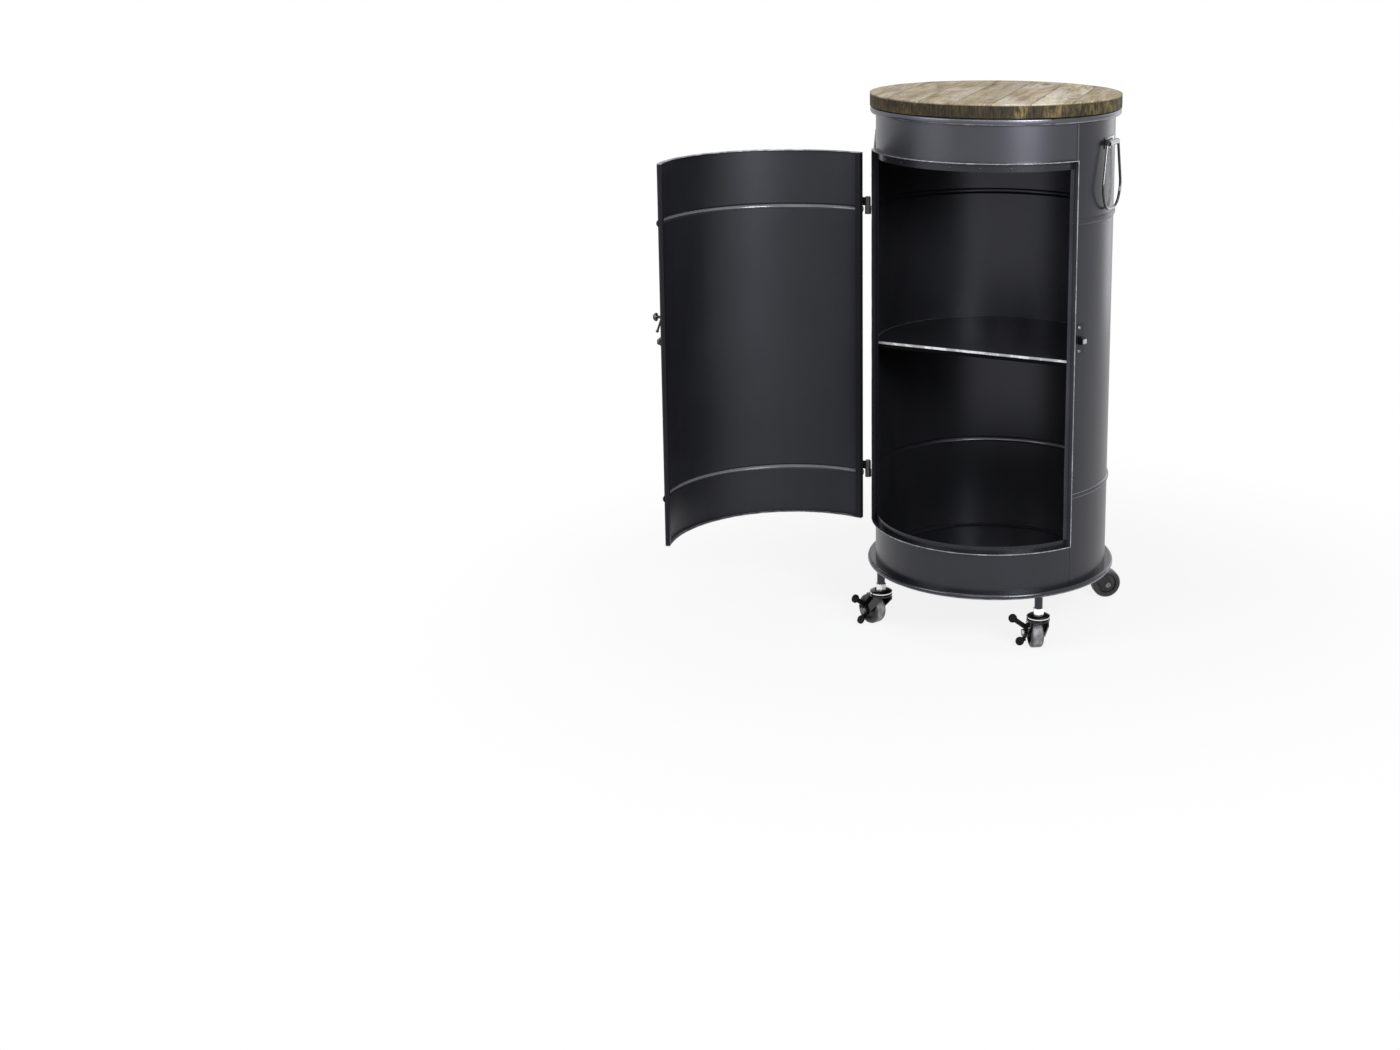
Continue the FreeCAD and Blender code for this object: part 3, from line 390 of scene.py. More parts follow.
def shelf_highlight(tree):
    """Lines of pale metal along the shelf's straight front edge and, fainter, its round edge:
    painted highlights.
    """
    _, across, _ = tree.parts(tree.place())
    radius, height = radius_about(tree)
    front = 1.0 - across.rise(SHELF_FRONT + 1.2 * MM, SHELF_FRONT + 2.2 * MM)
    back = radius.rise(DRUM_R - SHEET - 1.6 * MM, DRUM_R - SHEET - 0.6 * MM) * 0.3
    return front.most(back) * height.rise(shelf_high.z - 3.8 * MM, shelf_high.z - 3.0 * MM)


def shelf_fold(tree):
    """The strip folded down under the front edge is in the shelf's own shade."""
    _, across, height = tree.parts(tree.place())
    front = 1.0 - across.rise(SHELF_FRONT + 2.0 * MM, SHELF_FRONT + 3.0 * MM)
    return front * (1.0 - height.rise(shelf_high.z - 2.8 * MM, shelf_high.z - 2.2 * MM)), 0.0


def keeper_highlight(tree):
    """Pale metal on the front of the staple: a painted highlight."""
    radius, _ = radius_about(tree)
    return radius.rise(KEEPER_R - 1.3 * MM, KEEPER_R - 0.5 * MM) * 0.6


drum_paint = steel_paint("drum_paint", 0.33, 0.0432, joint_and_shade=drum_seams, beads=drum_beads)
apron_paint = steel_paint("apron_paint", 0.33, 0.06525, joint_and_shade=drum_seams)
rim_paint = steel_paint("rim_paint", 0.32, 0.0900, edge_highlight=rim_highlight)
ring_paint = steel_paint("ring_paint", 0.22, 0.0450, edge_highlight=ring_highlight)
frame_paint = steel_paint("frame_paint", 0.28, 0.0360, edge_highlight=collar_highlight)
door_paint = steel_paint("door_paint", 0.40, 0.0270, door_highlight, door_fold_shade, door_beads)
jamb_paint = steel_paint("jamb_paint", 0.34, 0.0054, edge_highlight=collar_highlight)
# The right jamb's paint is five times paler: a lit copy, painted light.
lit_jamb_paint = steel_paint("lit_jamb_paint", 0.34, 0.0360, edge_highlight=collar_highlight, painted_light_lift=5.0)
inner_paint = steel_paint("inner_paint", 0.34, 0.0315)
shelf_paint = steel_paint("shelf_paint", 0.42, 0.0270, shelf_highlight, shelf_fold)
keeper_paint = steel_paint("keeper_paint", 0.30, 0.0360, edge_highlight=keeper_highlight)
print("paints made:", len(bpy.data.materials))

# %% [markdown]
# ## Enamel, zinc, rubber and nylon
# The casters are dipped in glossy black enamel, duller on the levers. Studs and nuts are zinc
# painted near white, a painted reflection, and axles are dull zinc. The tyres are a hard dark
# rubber whose tread is painted paler, as painted light. Each is a short function's worth of
# nodes.

# %% Small-part finishes
def enamel(name, race=None, sheen=0.10, gloss=0.4, coat=0.2):
    """Glossy black. A race is the height of a bright steel line, where ball bearings run."""
    tree = Tree(name)
    spot = tree.place()
    ripple = tree.noise(spot, 160.0, 2.0, 0.5)
    dust_and_painted_light = tree.noise(spot, 70.0, 4.0, 0.6).rise(0.55, 0.75)
    colour = tree.mix(dust_and_painted_light, grey(0.002), grey(0.006))
    if race is not None:
        _, _, height = tree.parts(spot)
        line = height.band(race, 0.5 * MM, 0.3 * MM)
        colour = tree.mix(line, colour, grey(0.9))
        tree.set(Metallic=line)
    return tree.set(Base_Color=colour, Roughness=sheen + dust_and_painted_light * 0.12,
                    Specular_IOR_Level=gloss, Coat_Weight=coat, Coat_Roughness=0.05,
                    Normal=tree.bump(ripple, 0.15, 0.0006))


def zinc(name, low, high, sheen, metal=1.0):
    """Zinc plating, clouded between two greys."""
    tree = Tree(name)
    spot = tree.place()
    cloud = tree.noise(spot, 240.0, 3.0, 0.6)
    colour = tree.mix(cloud.rise(0.35, 0.7), grey(low), grey(high))
    return tree.set(Base_Color=colour, Roughness=sheen + cloud * 0.2, Metallic=metal,
                    Normal=tree.bump(cloud, 0.08, 0.0003))


def rubber(name, wheel):
    """Dark sides and a tread painted paler, as painted light from above and in front: the tread
    lies near the wheel's middle plane.
    """
    tree = Tree(name)
    spot = tree.place()
    grain = tree.noise(spot, 520.0, 3.0, 0.7)
    tread_patches = tree.noise(spot, 90.0, 4.0, 0.6).rise(0.35, 0.65)
    from_axle = tree.node("ShaderNodeVectorMath", {"operation": "SUBTRACT"}, spot,
                          wheel["pos_m"])
    aside = tree.node("ShaderNodeVectorMath", {"operation": "DOT_PRODUCT"}, from_axle,
                      wheel["axis"], out=1)
    tread = 1.0 - aside.abs().rise(5.0 * MM, 9.0 * MM)
    # A paler tread, in patches, stands in for the light that falls on it: painted light.
    dust_and_painted_light = tread * (0.35 + tread_patches * 0.65)
    colour = tree.mix(dust_and_painted_light, (0.009, 0.009, 0.010, 1.0), (0.230, 0.230, 0.236, 1.0))
    return tree.set(Base_Color=colour, Roughness=0.42 + dust_and_painted_light * 0.3,
                    Normal=tree.bump(grain, 0.25, 0.0005))


def nylon(name):
    tree = Tree(name)
    spot = tree.place()
    grain = tree.noise(spot, 300.0, 2.0, 0.6)
    colour = tree.mix(grain, (0.008, 0.008, 0.009, 1.0), (0.016, 0.016, 0.017, 1.0))
    return tree.set(Base_Color=colour, Roughness=0.38 + grain * 0.15,
                    Normal=tree.bump(grain, 0.1, 0.0004))


def wire_black(name):
    """Thick glossy paint on bent wire, chipped here and there."""
    tree = Tree(name)
    spot = tree.place()
    chips = tree.noise(spot, 180.0, 4.0, 0.7).rise(0.64, 0.76)
    colour = tree.mix(chips * 0.3, grey(0.004), grey(0.10))
    return tree.set(Base_Color=colour, Roughness=0.12 + chips * 0.2,
                    Coat_Weight=0.4, Coat_Roughness=0.06)


black_enamel = enamel("black_enamel")
lever_enamel = enamel("lever_enamel", sheen=0.32, gloss=0.15, coat=0.0)
race_enamel = enamel("race_enamel", caps_low.z + 0.6 * MM)
# Studs and nuts are near-white and mostly not metal: a painted reflection of the white studio.
zinc_painted_white = zinc("zinc_painted_white", 0.86, 0.96, 0.24, 0.25)
dull_zinc = zinc("dull_zinc", 0.12, 0.22, 0.30)
rivet_zinc = zinc("rivet_zinc", 0.14, 0.24, 0.14)
hub_nylon = nylon("hub_nylon")
black_wire = wire_black("black_wire")

# %% [markdown]
# ## Dressing the working parts
# The frame's pieces keep their shapes. A short table says which finish each one wears, by the
# start of its name, and the longest match wins.

# %% Finishes by name
FINISHES = {
    "drum_wrapper": drum_paint, "upper_apron": apron_paint, "lower_apron": drum_paint,
    "top_rim": rim_paint, "base_ring": ring_paint, "stem_": ring_paint,
    "floor_plate": inner_paint, "top_plate": inner_paint, "shelf": shelf_paint,
    "frame_": frame_paint, "frame_jamb_left": jamb_paint, "frame_jamb_right": lit_jamb_paint,
    "door_panel": door_paint, "hinge_": black_wire, "handle_": black_wire,
    "bolt_": black_wire, "knob": black_wire,
    "keeper_plate": keeper_paint, "keeper_rivets": rivet_zinc, "lid_": zinc_painted_white,
    "caster_studs": zinc_painted_white, "caster_nuts": zinc_painted_white, "caster_caps": race_enamel,
    "fork_": black_enamel, "brake_lever_": lever_enamel, "axle_": dull_zinc,
    "wheel_hub_": hub_nylon,
}
for name in nodes:
    if name.startswith("tyre_"):
        FINISHES[name] = rubber(name + "_rubber", joints[name.replace("tyre", "wheel")])
for name, piece in nodes.items():
    start = max((key for key in FINISHES if name.startswith(key)), key=len)
    piece.data.materials.clear()
    piece.data.materials.append(FINISHES[start])
print("dressed", len(nodes), "pieces")

# %% [markdown]
# ## The lid's boards
# The lid is a disc glued up from rough-sawn boards, rounded over by hand. The working part is a
# clean disc in strips. Here each board is cut out of a slightly uneven circle and stands a
# hair higher or lower than its neighbour, with a fine groove between them. The cut edges are
# flagged with a bevel weight, so one Bevel modifier rounds the rim much and the joints little.

# %% Boards
BOARDS = 7
BOARD_TURN = math.radians(101.0)
BOARD_GAP = 0.08 * MM
CIRCLE_STEPS = 360
RIM_ROUND = 3.2 * MM
JOINT_ROUND = 0.5 * MM
ROUNDING_STEPS = 4
FLUSH = 1e-7
board_width = 2 * LID_R / BOARDS


def rim_radius(angle):
    """The sawn circle wanders by under a millimetre."""
    at = Vector((math.cos(angle), math.sin(angle), 0.3)) * 2.6
    fine = Vector((math.cos(angle), math.sin(angle), 1.7)) * 11.0
    return LID_R - 0.5 * MM + noise.noise(at) * 0.5 * MM + noise.noise(fine) * 0.2 * MM


def board_outline(low, high):
    """Corners of one board, anticlockwise: the arc on each end, straight joints between."""
    inside = []
    for k in range(CIRCLE_STEPS):
        angle = 2 * math.pi * k / CIRCLE_STEPS
        radius = rim_radius(angle)
        v = radius * math.sin(angle)
        inside.append((low < v < high, radius * math.cos(angle), v))
    points = []
    for k in range(CIRCLE_STEPS):
        here, x0, v0 = inside[k - 1]
        there, x1, v1 = inside[k]
        if here != there:
            edge = high if max(v0, v1) > high else low
            t = (edge - v0) / (v1 - v0)
            points.append((x0 + (x1 - x0) * t, edge))
        if there:
            points.append((x1, v1))
    return points


def make_boards():
    mesh = bpy.data.meshes.new("lid_boards")
    work = bmesh.new()
    weight = work.edges.layers.float.new("bevel_weight_edge")
    for i in range(BOARDS):
        low = -LID_R - MM + i * board_width + (MM if i else 0)
        high = -LID_R + (i + 1) * board_width + (MM if i == BOARDS - 1 else 0)
        outline = board_outline(low + BOARD_GAP, high - BOARD_GAP)
        settle = noise.noise(Vector((i * 3.7, 0.5, 0.0))) * 0.3 * MM - 0.25 * MM
        rings = [[work.verts.new((x, y, z)) for x, y in outline]
                 for z in (lid_low.z, lid_high.z + settle)]
        work.faces.new(rings[0][::-1])
        work.faces.new(rings[1])
        count = len(outline)
        for k in range(count):
            a, b = k, (k + 1) % count
            work.faces.new((rings[0][a], rings[0][b], rings[1][b], rings[1][a]))
            on_joint = abs(outline[a][1] - outline[b][1]) < FLUSH
            for ring in rings:
                edge = work.edges.get((ring[a], ring[b]))
                edge[weight] = JOINT_ROUND / RIM_ROUND if on_joint else 1.0
    bmesh.ops.rotate(work, verts=work.verts, matrix=Matrix.Rotation(BOARD_TURN, 3, "Z"))
    work.to_mesh(mesh)
    work.free()
    piece = show("lid_boards", mesh)
    bevel = piece.modifiers.new("rounding", "BEVEL")
    bevel.limit_method = "WEIGHT"
    bevel.width = RIM_ROUND
    bevel.segments = ROUNDING_STEPS
    return piece


lid_boards = make_boards()
print("boards:", BOARDS, "of", round(board_width / MM, 1), "mm")

# %% [markdown]
# ## Weathered wood
# The boards are old softwood, stained olive-brown and greyed. Along a board the grain runs in
# long wavering streaks; across it the saw left close, faint marks. Each board has its own tone,
# found from its number, and a few knots. Round the lid's edge the wood is darker, with paler
# patches at a few angles round it. All of it reads the lid's own coordinates, turned so that
# X runs along the boards.

# %% Wood finish
OLIVE = (0.150, 0.112, 0.054, 1.0)
PALE = (0.430, 0.365, 0.265, 1.0)
SILVER = (0.520, 0.480, 0.420, 1.0)
DARK = (0.030, 0.023, 0.014, 1.0)
END_DARK = ((0.005, 0.004, 0.002, 1.0), (0.028, 0.020, 0.008, 1.0))
END_LIGHT = ((0.045, 0.033, 0.014, 1.0), (0.190, 0.145, 0.064, 1.0))


def weathered_wood():
    tree = Tree("weathered_boards")
    spot = tree.shifted(tree.place(), turn=-BOARD_TURN)
    along, across, up = tree.parts(spot)
    share = (across + LID_R) / board_width
    number = share.math("FLOOR")
    joint = (share.fract() - 0.5).abs().rise(0.5 - 1.4 * MM / board_width,
                                             0.5 - 0.5 * MM / board_width)
    own = tree.node("ShaderNodeTexWhiteNoise", {"noise_dimensions": "1D"}, W=number + 3.0)
    slide = tree.join(along + number * 0.37, across, up)
    wander = tree.noise(tree.shifted(slide, scale=(3.0, 9.0, 9.0)), 1.0, 3.0, 0.5)
    streak_at = tree.join(along * 7.0 + number * 2.3, across * 70.0 + wander * 6.0, up * 60.0)
    streak = tree.noise(streak_at, 1.0, 5.0, 0.62)
    fine_at = tree.join(along * 30.0, across * 560.0 + wander * 20.0, up * 400.0)
    fine = tree.noise(fine_at, 1.0, 3.0, 0.6)
    saw = tree.noise(tree.join(along * 330.0, across * 7.0, up * 9.0), 1.0, 2.0, 0.5)
    blotch = tree.noise(tree.shifted(slide, scale=(9.0, 24.0, 9.0)), 1.0, 5.0, 0.62)
    scratch_at = tree.shifted(slide, turn=0.5, scale=(10.0, 260.0, 10.0))
    scratch = tree.noise(scratch_at, 1.0, 2.0, 0.5).rise(0.66, 0.72)
    knots = tree.node("ShaderNodeTexVoronoi", {"feature": "F1"},
                      tree.shifted(slide, scale=(7.0, 15.0, 9.0)), None, 1.0)
    knot = 1.0 - knots.rise(0.06, 0.17)
    colour = tree.mix(streak.rise(0.36, 0.62), OLIVE, PALE)
    for mask, tone in ((blotch.rise(0.42, 0.66) * 0.70, SILVER),
                       (own.rise(0.1, 0.9) * 0.55, OLIVE),
                       ((1.0 - fine.rise(0.34, 0.52)) * 0.45, DARK),
                       (saw.rise(0.55, 0.72) * 0.30, SILVER),
                       (scratch * 0.5, SILVER),
                       (knot * 0.7, DARK)):
        colour = tree.mix(mask, colour, tone)
    side = 1.0 - up.rise(lid_high.z - 3.4 * MM, lid_high.z - 1.0 * MM)
    patches = tree.noise(tree.shifted(spot, scale=(60.0, 60.0, 45.0)), 1.0, 5.0, 0.65)
    fibres = tree.noise(tree.shifted(spot, scale=(420.0, 420.0, 60.0)), 1.0, 3.0, 0.65)
    x, y, _ = tree.parts(tree.place())
    around = x.math("ARCTAN2", y * -1.0) * (180 / math.pi)
    # Paler patches at set angles round the lid's side.
    side_patches = around.band(33.0, 2.0, 2.5).most(around.band(70.0, 24.0, 8.0) * 0.42)
    side_patches = side_patches.most(around.band(-38.0, 20.0, 12.0) * 0.30)
    light = (patches.rise(0.38, 0.64) * side_patches * 1.3).most(patches.rise(0.58, 0.74) * 0.5)
    ends = [tree.mix(fibres.rise(0.35, 0.65), *pair) for pair in (END_DARK, END_LIGHT)]
    colour = tree.mix(side, colour, tree.mix(light.least(1.0), *ends))
    colour = tree.mix(joint * (1.0 - side) * (0.2 + blotch * 0.7), colour, DARK)
    height = streak * 0.5 + fine * 0.35 + saw * 0.25 - knot * 0.3
    return tree.set(Base_Color=colour, Roughness=0.60 + fine * 0.22, Specular_IOR_Level=0.2,
                    Normal=tree.bump(height, 0.50, 0.0009))


lid_boards.data.materials.append(weathered_wood())

# %% [markdown]
# ## The print on the back
# A panel of white ink is screen-printed on the plain back of the drum, and has worn thin in
# places. The panel here is a generic one: a ring of ticks around a wine glass, with a band of
# lozenges above and below. It is a thin curved sheet laid on the paint, and its pattern is
# worked out from the panel's own UV map, in metres, as a stencil that drives the Alpha.

# %% Print panel
PRINT_W = 192.0 * MM
PRINT_LOW = 302.0 * MM
PRINT_HIGH = 557.0 * MM
PRINT_LIFT = 0.15 * MM
PRINT_MID = math.radians(93.0)
PRINT_COLUMNS = 64
PRINT_ROWS = 4
RINGS = ((76.0 * MM, 0.9 * MM), (72.6 * MM, 0.3 * MM), (54.0 * MM, 0.6 * MM))
TICKS = 48
BOWL_UP = 8.0 * MM
BOWL_SIZE = (17.0, 25.0)
BAND_UP = 100.0 * MM
BAND_HALF = 10.0 * MM
LOZENGE_SIZE = (12.0 * MM, 9.0 * MM)
RULES = ((86.5 * MM, 0.7 * MM), (113.5 * MM, 0.7 * MM), (117.0 * MM, 1.6 * MM))


def make_print():
    mesh = bpy.data.meshes.new("back_print")
    work = bmesh.new()
    uv = work.loops.layers.uv.new("print")
    half = PRINT_W / 2
    tall = (PRINT_HIGH - PRINT_LOW) / 2
    grid = []
    for j in range(PRINT_ROWS + 1):
        v = -tall + 2 * tall * j / PRINT_ROWS
        line = []
        for i in range(PRINT_COLUMNS + 1):
            u = -half + 2 * half * i / PRINT_COLUMNS
            angle = PRINT_MID + u / DRUM_R
            radius = DRUM_R + PRINT_LIFT
            z = PRINT_LOW + tall + v
            vert = work.verts.new((radius * math.cos(angle), radius * math.sin(angle), z))
            line.append((vert, u, v))
        grid.append(line)
    for j in range(PRINT_ROWS):
        for i in range(PRINT_COLUMNS):
            corners = (grid[j][i], grid[j][i + 1], grid[j + 1][i + 1], grid[j + 1][i])
            face = work.faces.new([corner[0] for corner in corners])
            face.smooth = True
            for loop, corner in zip(face.loops, corners):
                loop[uv].uv = (corner[1], corner[2])
    work.to_mesh(mesh)
    work.free()
    return show("back_print", mesh)


def print_ink():
    """Worn white ink where the stencil is open, nothing elsewhere."""
    tree = Tree("print_ink")
    x, y, _ = tree.parts(tree.node("ShaderNodeUVMap", {"uv_map": "print"}))
    soft = 0.25 * MM
    reach = (x * x + y * y).math("SQRT")
    turn = y.math("ARCTAN2", x)
    tick_wave = (turn * (TICKS / (2 * math.pi))).fract().band(0.5, 0.17, 0.03)
    ticks = tick_wave * reach.band(63.5 * MM, 5.0 * MM, soft)
    stencil = reduce(Value.most, [reach.band(*ring, soft) for ring in RINGS]).most(ticks)
    bowl_x = x / BOWL_SIZE[0]
    bowl_y = (y - BOWL_UP) / BOWL_SIZE[1]
    bowl = (bowl_x * bowl_x + bowl_y * bowl_y).math("SQRT")
    cup = (1.0 - bowl.rise(1.0 * MM, 1.02 * MM)) * (1.0 - y.rise(19.0 * MM, 19.2 * MM))
    hollow = (1.0 - bowl.rise(0.86 * MM, 0.88 * MM)) * y.rise(BOWL_UP, BOWL_UP + 0.2 * MM)
    stem = x.band(0.0, 1.1 * MM, soft) * y.band(-25.0 * MM, 9.0 * MM, soft)
    foot = x.band(0.0, 13.0 * MM, soft) * y.band(-35.0 * MM, 0.9 * MM, soft)
    stencil = stencil.most(cup * (1.0 - hollow)).most(stem).most(foot)
    off = y.abs()
    lozenge = ((x / LOZENGE_SIZE[0]).fract() - 0.5).abs() * 2.0
    lozenge = lozenge + (off - BAND_UP).abs() / LOZENGE_SIZE[1]
    diamonds = (1.0 - lozenge.rise(0.78, 0.84)) * off.band(BAND_UP, BAND_HALF, soft)
    diamonds = diamonds * lozenge.rise(0.34, 0.40)
    rules = reduce(Value.most, [off.band(*rule, soft) for rule in RULES])
    inside = 1.0 - x.abs().rise(90.0 * MM, 90.3 * MM)
    stencil = stencil.most(diamonds).most(rules) * inside
    spot = tree.place()
    worn_and_lit = tree.noise(spot, 55.0, 8.0, 0.72).rise(0.40, 0.56)
    grit = tree.noise(spot, 700.0, 3.0, 0.7).rise(0.34, 0.46)
    ink = stencil * (0.25 + worn_and_lit * 0.75) * grit
    colour = tree.mix(worn_and_lit, (0.42, 0.42, 0.41, 1.0), (0.72, 0.72, 0.70, 1.0))
    return tree.set(Base_Color=colour, Roughness=0.55, Alpha=ink)


back_print = make_print()
back_print.data.materials.append(print_ink())

# %% [markdown]
# ## Weld dots
# The collar round the doorway is spot-welded to the drum, and each weld leaves a small bright
# dimple. They repeat along arcs and uprights at the same spacing, which is a rule, so Geometry
# Nodes make them: points on a line are wrapped on a cylinder, and a flattened ball is set on
# each. The tree's inputs are its sizes, and its result is made a plain mesh.

# %% Weld tree
def weld_tree():
    """Dots from one angle and height to another, on a cylinder about Z."""
    group = bpy.data.node_groups.new("weld_row", "GeometryNodeTree")
    face = group.interface
    face.new_socket("Geometry", in_out="INPUT", socket_type="NodeSocketGeometry")
    face.new_socket("Geometry", in_out="OUTPUT", socket_type="NodeSocketGeometry")
    kinds = {"Count": "Int"}
    for name in ("Cylinder", "Angle A", "Angle B", "Height A", "Height B", "Dot Radius",
                 "Dot Rise"):
        kinds[name] = "Float"
    kinds["Material"] = "Material"
    ids = {}
    for name, kind in kinds.items():
        socket = face.new_socket(name, in_out="INPUT", socket_type="NodeSocket" + kind)
        ids[name] = socket.identifier
    add = group.nodes.new
    link = group.links.new
    given = add("NodeGroupInput").outputs
    result = add("NodeGroupOutput").inputs[0]

    def maths(operation, a, b=None):
        node = add("ShaderNodeMath")
        node.operation = operation
        for socket, value in zip(node.inputs, (a, b)):
            if value is None:
                continue
            if isinstance(value, (int, float)):
                socket.default_value = value
            else:
                link(value, socket)
        return node.outputs[0]

    line = add("GeometryNodeMeshLine")
    link(given["Count"], line.inputs["Count"])
    last = maths("MAXIMUM", maths("SUBTRACT", given["Count"], 1), 1)
    share = maths("DIVIDE", add("GeometryNodeInputIndex").outputs[0], last)

    def between(a, b):
        span = maths("SUBTRACT", given[b], given[a])
        return maths("ADD", given[a], maths("MULTIPLY", share, span))

    angle = between("Angle A", "Angle B")
    outward = add("ShaderNodeCombineXYZ")
    link(maths("COSINE", angle), outward.inputs[0])
    link(maths("SINE", angle), outward.inputs[1])
    spread = add("ShaderNodeVectorMath")
    spread.operation = "SCALE"
    link(outward.outputs[0], spread.inputs[0])
    link(given["Cylinder"], spread.inputs["Scale"])
    lift = add("ShaderNodeCombineXYZ")
    link(between("Height A", "Height B"), lift.inputs[2])
    place = add("ShaderNodeVectorMath")
    link(spread.outputs[0], place.inputs[0])
    link(lift.outputs[0], place.inputs[1])
    put = add("GeometryNodeSetPosition")
    link(line.outputs[0], put.inputs["Geometry"])
    link(place.outputs[0], put.inputs["Position"])
    ball = add("GeometryNodeMeshIcoSphere")
    ball.inputs["Radius"].default_value = 1.0
    ball.inputs["Subdivisions"].default_value = 2
    face_out = add("FunctionNodeAlignRotationToVector")
    link(outward.outputs[0], face_out.inputs["Vector"])
    size = add("ShaderNodeCombineXYZ")
    for axis in (0, 1):
        link(given["Dot Radius"], size.inputs[axis])
    link(given["Dot Rise"], size.inputs[2])
    dots = add("GeometryNodeInstanceOnPoints")
    link(put.outputs[0], dots.inputs["Points"])
    link(ball.outputs[0], dots.inputs["Instance"])
    link(face_out.outputs[0], dots.inputs["Rotation"])
    link(size.outputs[0], dots.inputs["Scale"])
    real = add("GeometryNodeRealizeInstances")
    link(dots.outputs[0], real.inputs[0])
    paint = add("GeometryNodeSetMaterial")
    link(real.outputs[0], paint.inputs["Geometry"])
    link(given["Material"], paint.inputs["Material"])
    link(paint.outputs[0], result)
    return group, ids


def weld_row(name, tree, ids, **values):
    """One row of dots, as a plain mesh object."""
    holder = show(name, bpy.data.meshes.new(name + "_seed"))
    modifier = holder.modifiers.new("welds", "NODES")
    modifier.node_group = tree
    for key, value in values.items():
        modifier[ids[key.replace("_", " ")]] = value
    bpy.context.view_layer.update()
    solid = holder.evaluated_get(bpy.context.evaluated_depsgraph_get())
    mesh = bpy.data.meshes.new_from_object(solid)
    holder.modifiers.clear()
    holder.data = mesh
    for polygon in mesh.polygons:
        polygon.use_smooth = True
    return holder


# %% [markdown]
# ## The four rows
# The tree is used four times: up each jamb, along the sill and along the lintel. The dots sit on
# the collar's inner lip, whose face lies a little inside the drum's sheet, where a welder can
# reach it from the front.

# %% Weld rows
LIP_FACE = DRUM_R - 1.8 * MM
JAMB_FREE = 12 * MM
LIP_MIDDLE = 4.5 * MM
ARC_SHARE = 0.94
FRONT = math.radians(-90.0)
weld_group, weld_ids = weld_tree()
edge_turn = math.radians(OPENING_HALF - 1.6)
alike = dict(Count=9, Cylinder=LIP_FACE, Dot_Radius=1.5 * MM, Dot_Rise=0.35 * MM,
             Material=frame_paint)
rows = []
for label, side in (("left", -1), ("right", 1)):
    angle = FRONT + side * edge_turn
    rows.append(weld_row("jamb_welds_" + label, weld_group, weld_ids, Angle_A=angle,
                         Angle_B=angle, Height_A=sill_high.z + JAMB_FREE,
                         Height_B=lintel_low.z - JAMB_FREE, **alike))
arc = edge_turn * ARC_SHARE
for label, height in (("sill", sill_high.z - LIP_MIDDLE), ("lintel", lintel_low.z + LIP_MIDDLE)):
    rows.append(weld_row(label + "_welds", weld_group, weld_ids, Angle_A=FRONT - arc,
                         Angle_B=FRONT + arc, Height_A=height, Height_B=height, **alike))
print("weld rows:", len(rows), "faces each:", [len(row.data.polygons) for row in rows])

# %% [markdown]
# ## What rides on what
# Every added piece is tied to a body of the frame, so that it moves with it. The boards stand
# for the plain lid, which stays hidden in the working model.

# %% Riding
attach(lid_boards, "cabinet")
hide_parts("lid_planks")
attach(back_print, "cabinet")
for row in rows:
    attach(row, "cabinet")

# %% [markdown]
# ## Studio
# The cabinet stands on a round pale floor that fades into a white world. The camera sees that
# white, and so do mirrored rays, so that paint and zinc show it too. The light that falls on the
# cabinet comes from soft lamps, and the floor keeps a soft shadow. A drum shows a lamp as an
# upright band, and the lamp's height decides how far up the band reaches. A strong lamp at the
# right of the front gives the main band, two weaker ones give the others, low ones light the
# foot, one behind rims the back, and one above lights the lid.

# %% Floor and world
FLOOR_R = 1.3
FLOOR_SIDES = 96
LAMP_TINT = (0.97, 0.98, 1.0)
WORLD_LIGHT = 0.10
LAMPS = {
    "key_lamp": (50.0, 2.4, 1.65, 1.0, 0.8, 37.0),
    "low_key_lamp": (50.0, 2.4, 0.95, 1.0, 0.6, 5.8),
    "middle_lamp": (10.0, 2.4, 1.65, 1.0, 0.8, 6.2),
    "fill_lamp": (-35.0, 2.4, 1.65, 1.2, 0.8, 6.8),
    "low_fill_lamp": (-35.0, 2.4, 0.95, 1.2, 0.6, 2.6),
    "back_lamp": (162.0, 2.6, 0.8, 1.0, 1.8, 1.3),
    "top_lamp": (0.0, 0.3, 2.6, 1.6, 1.6, 3.4),
}


def make_floor():
    """A disc that glows white where it is seen, less so near the cabinet and its shadow."""
    mesh = bpy.data.meshes.new("floor")
    turns = [2 * math.pi * k / FLOOR_SIDES for k in range(FLOOR_SIDES)]
    corners = [(FLOOR_R * math.cos(turn), FLOOR_R * math.sin(turn), 0) for turn in turns]
    mesh.from_pydata(corners, [], [tuple(range(FLOOR_SIDES))])
    tree = Tree("pale_floor")
    tree.set(Base_Color=grey(0.45), Roughness=0.9)
    glow = tree.nodes.new("ShaderNodeEmission")
    glow.inputs["Strength"].default_value = 1.0
    seen = Value(tree, background_rays(tree.nodes, tree.links))
    reach, _ = radius_about(tree)
    blend = tree.nodes.new("ShaderNodeMixShader")
    tree.feed(blend.inputs[0], seen * (0.86 + reach.rise(0.3, 1.0) * 0.14))
    tree.links.new(tree.shader.outputs[0], blend.inputs[1])
    tree.links.new(glow.outputs[0], blend.inputs[2])
    tree.links.new(blend.outputs[0], tree.output.inputs[0])
    mesh.materials.append(tree.material)
    show("floor", mesh)


def make_world():
    world = bpy.data.worlds.new("studio")
    bpy.context.scene.world = world
    world.use_nodes = True
    tree = world.node_tree
    back = tree.nodes["Background"]
    back.inputs["Color"].default_value = (1, 1, 1, 1)
    strength = tree.nodes.new("ShaderNodeMapRange")
    strength.inputs["To Min"].default_value = WORLD_LIGHT
    strength.inputs["To Max"].default_value = 1.0
    tree.links.new(background_rays(tree.nodes, tree.links), strength.inputs["Value"])
    tree.links.new(strength.outputs[0], back.inputs["Strength"])


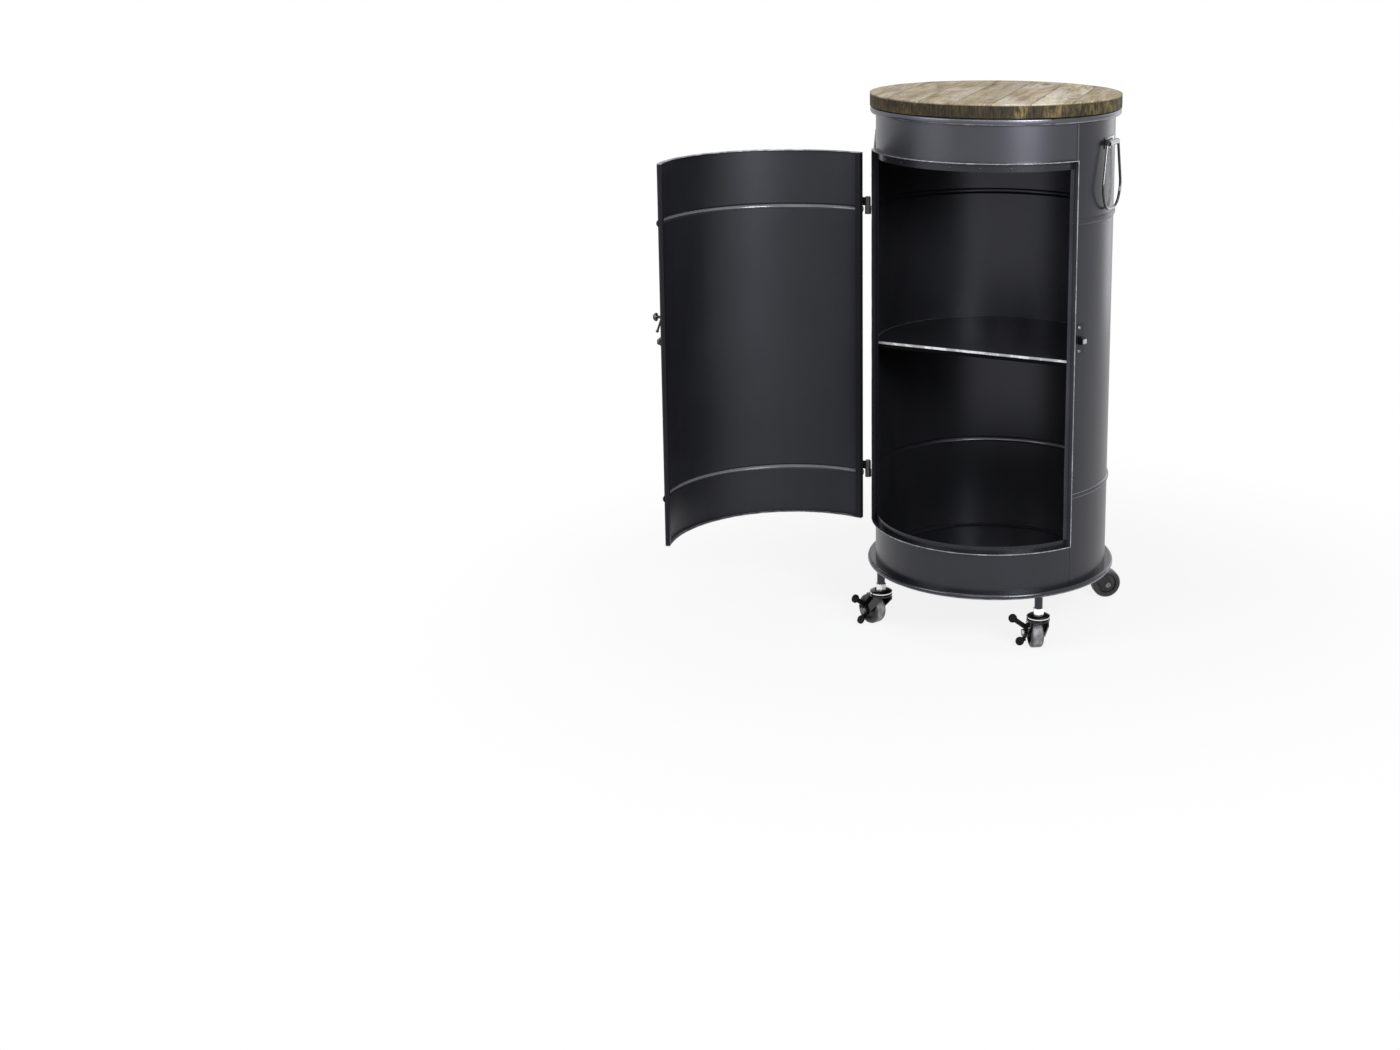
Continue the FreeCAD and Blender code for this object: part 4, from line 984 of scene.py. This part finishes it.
def softbox(name, azimuth, reach, height, width, tall, glow):
    """A rectangle of light that faces the cabinet: degrees, metres, and its brightness."""
    lamp = bpy.data.lights.new(name, "AREA")
    lamp.shape = "RECTANGLE"
    lamp.size = width
    lamp.size_y = tall
    lamp.energy = glow * math.pi * width * tall
    lamp.color = LAMP_TINT
    turn = math.radians(azimuth)
    place = Vector((reach * math.sin(turn), -reach * math.cos(turn), height))
    aim = Vector((0.0, 0.0, min(height, 0.5)))
    piece = show(name, lamp)
    piece.location = place
    piece.rotation_euler = (aim - place).to_track_quat("-Z", "Y").to_euler()
    piece.visible_camera = False


make_floor()
make_world()
for lamp_name, setting in LAMPS.items():
    softbox(lamp_name, *setting)

# %% [markdown]
# ## Camera
# The camera stands a little above the lid, about 21 degrees round to the cabinet's right, and
# looks down by 12 degrees. A lens shift puts the cabinet off the picture's centre.

# %% Camera
CAMERA_AZIMUTH = 21.239
CAMERA_REACH = 2.8188
CAMERA_HEIGHT = 1.0667
CAMERA_HEADING = 23.928
CAMERA_PITCH = 12.035
CAMERA_ROLL = 0.191
IMAGE_W, IMAGE_H = 1400, 1050
FOCAL_PX = 1927.5
CENTRE_PX = (904.4, 314.7)

view = bpy.data.cameras.new("studio_camera")
view.sensor_width = 36.0
view.lens = FOCAL_PX / IMAGE_W * view.sensor_width
view.shift_x = (IMAGE_W / 2 - CENTRE_PX[0]) / IMAGE_W
view.shift_y = (CENTRE_PX[1] - IMAGE_H / 2) / IMAGE_W
camera = show("studio_camera", view)
azimuth = math.radians(CAMERA_AZIMUTH)
camera.location = (CAMERA_REACH * math.sin(azimuth), -CAMERA_REACH * math.cos(azimuth),
                   CAMERA_HEIGHT)
turn = Matrix.Rotation(math.radians(CAMERA_HEADING), 3, "Z")
tilt = Matrix.Rotation(math.radians(90 - CAMERA_PITCH), 3, "X")
roll = Matrix.Rotation(math.radians(CAMERA_ROLL), 3, "Z")
camera.rotation_euler = (turn @ tilt @ roll).to_euler()
bpy.context.scene.camera = camera
bpy.context.scene.view_settings.view_transform = "Standard"

# %% [markdown]
# ## The end
# The last cell updates the scene once more.

# %% The end
bpy.context.view_layer.update()
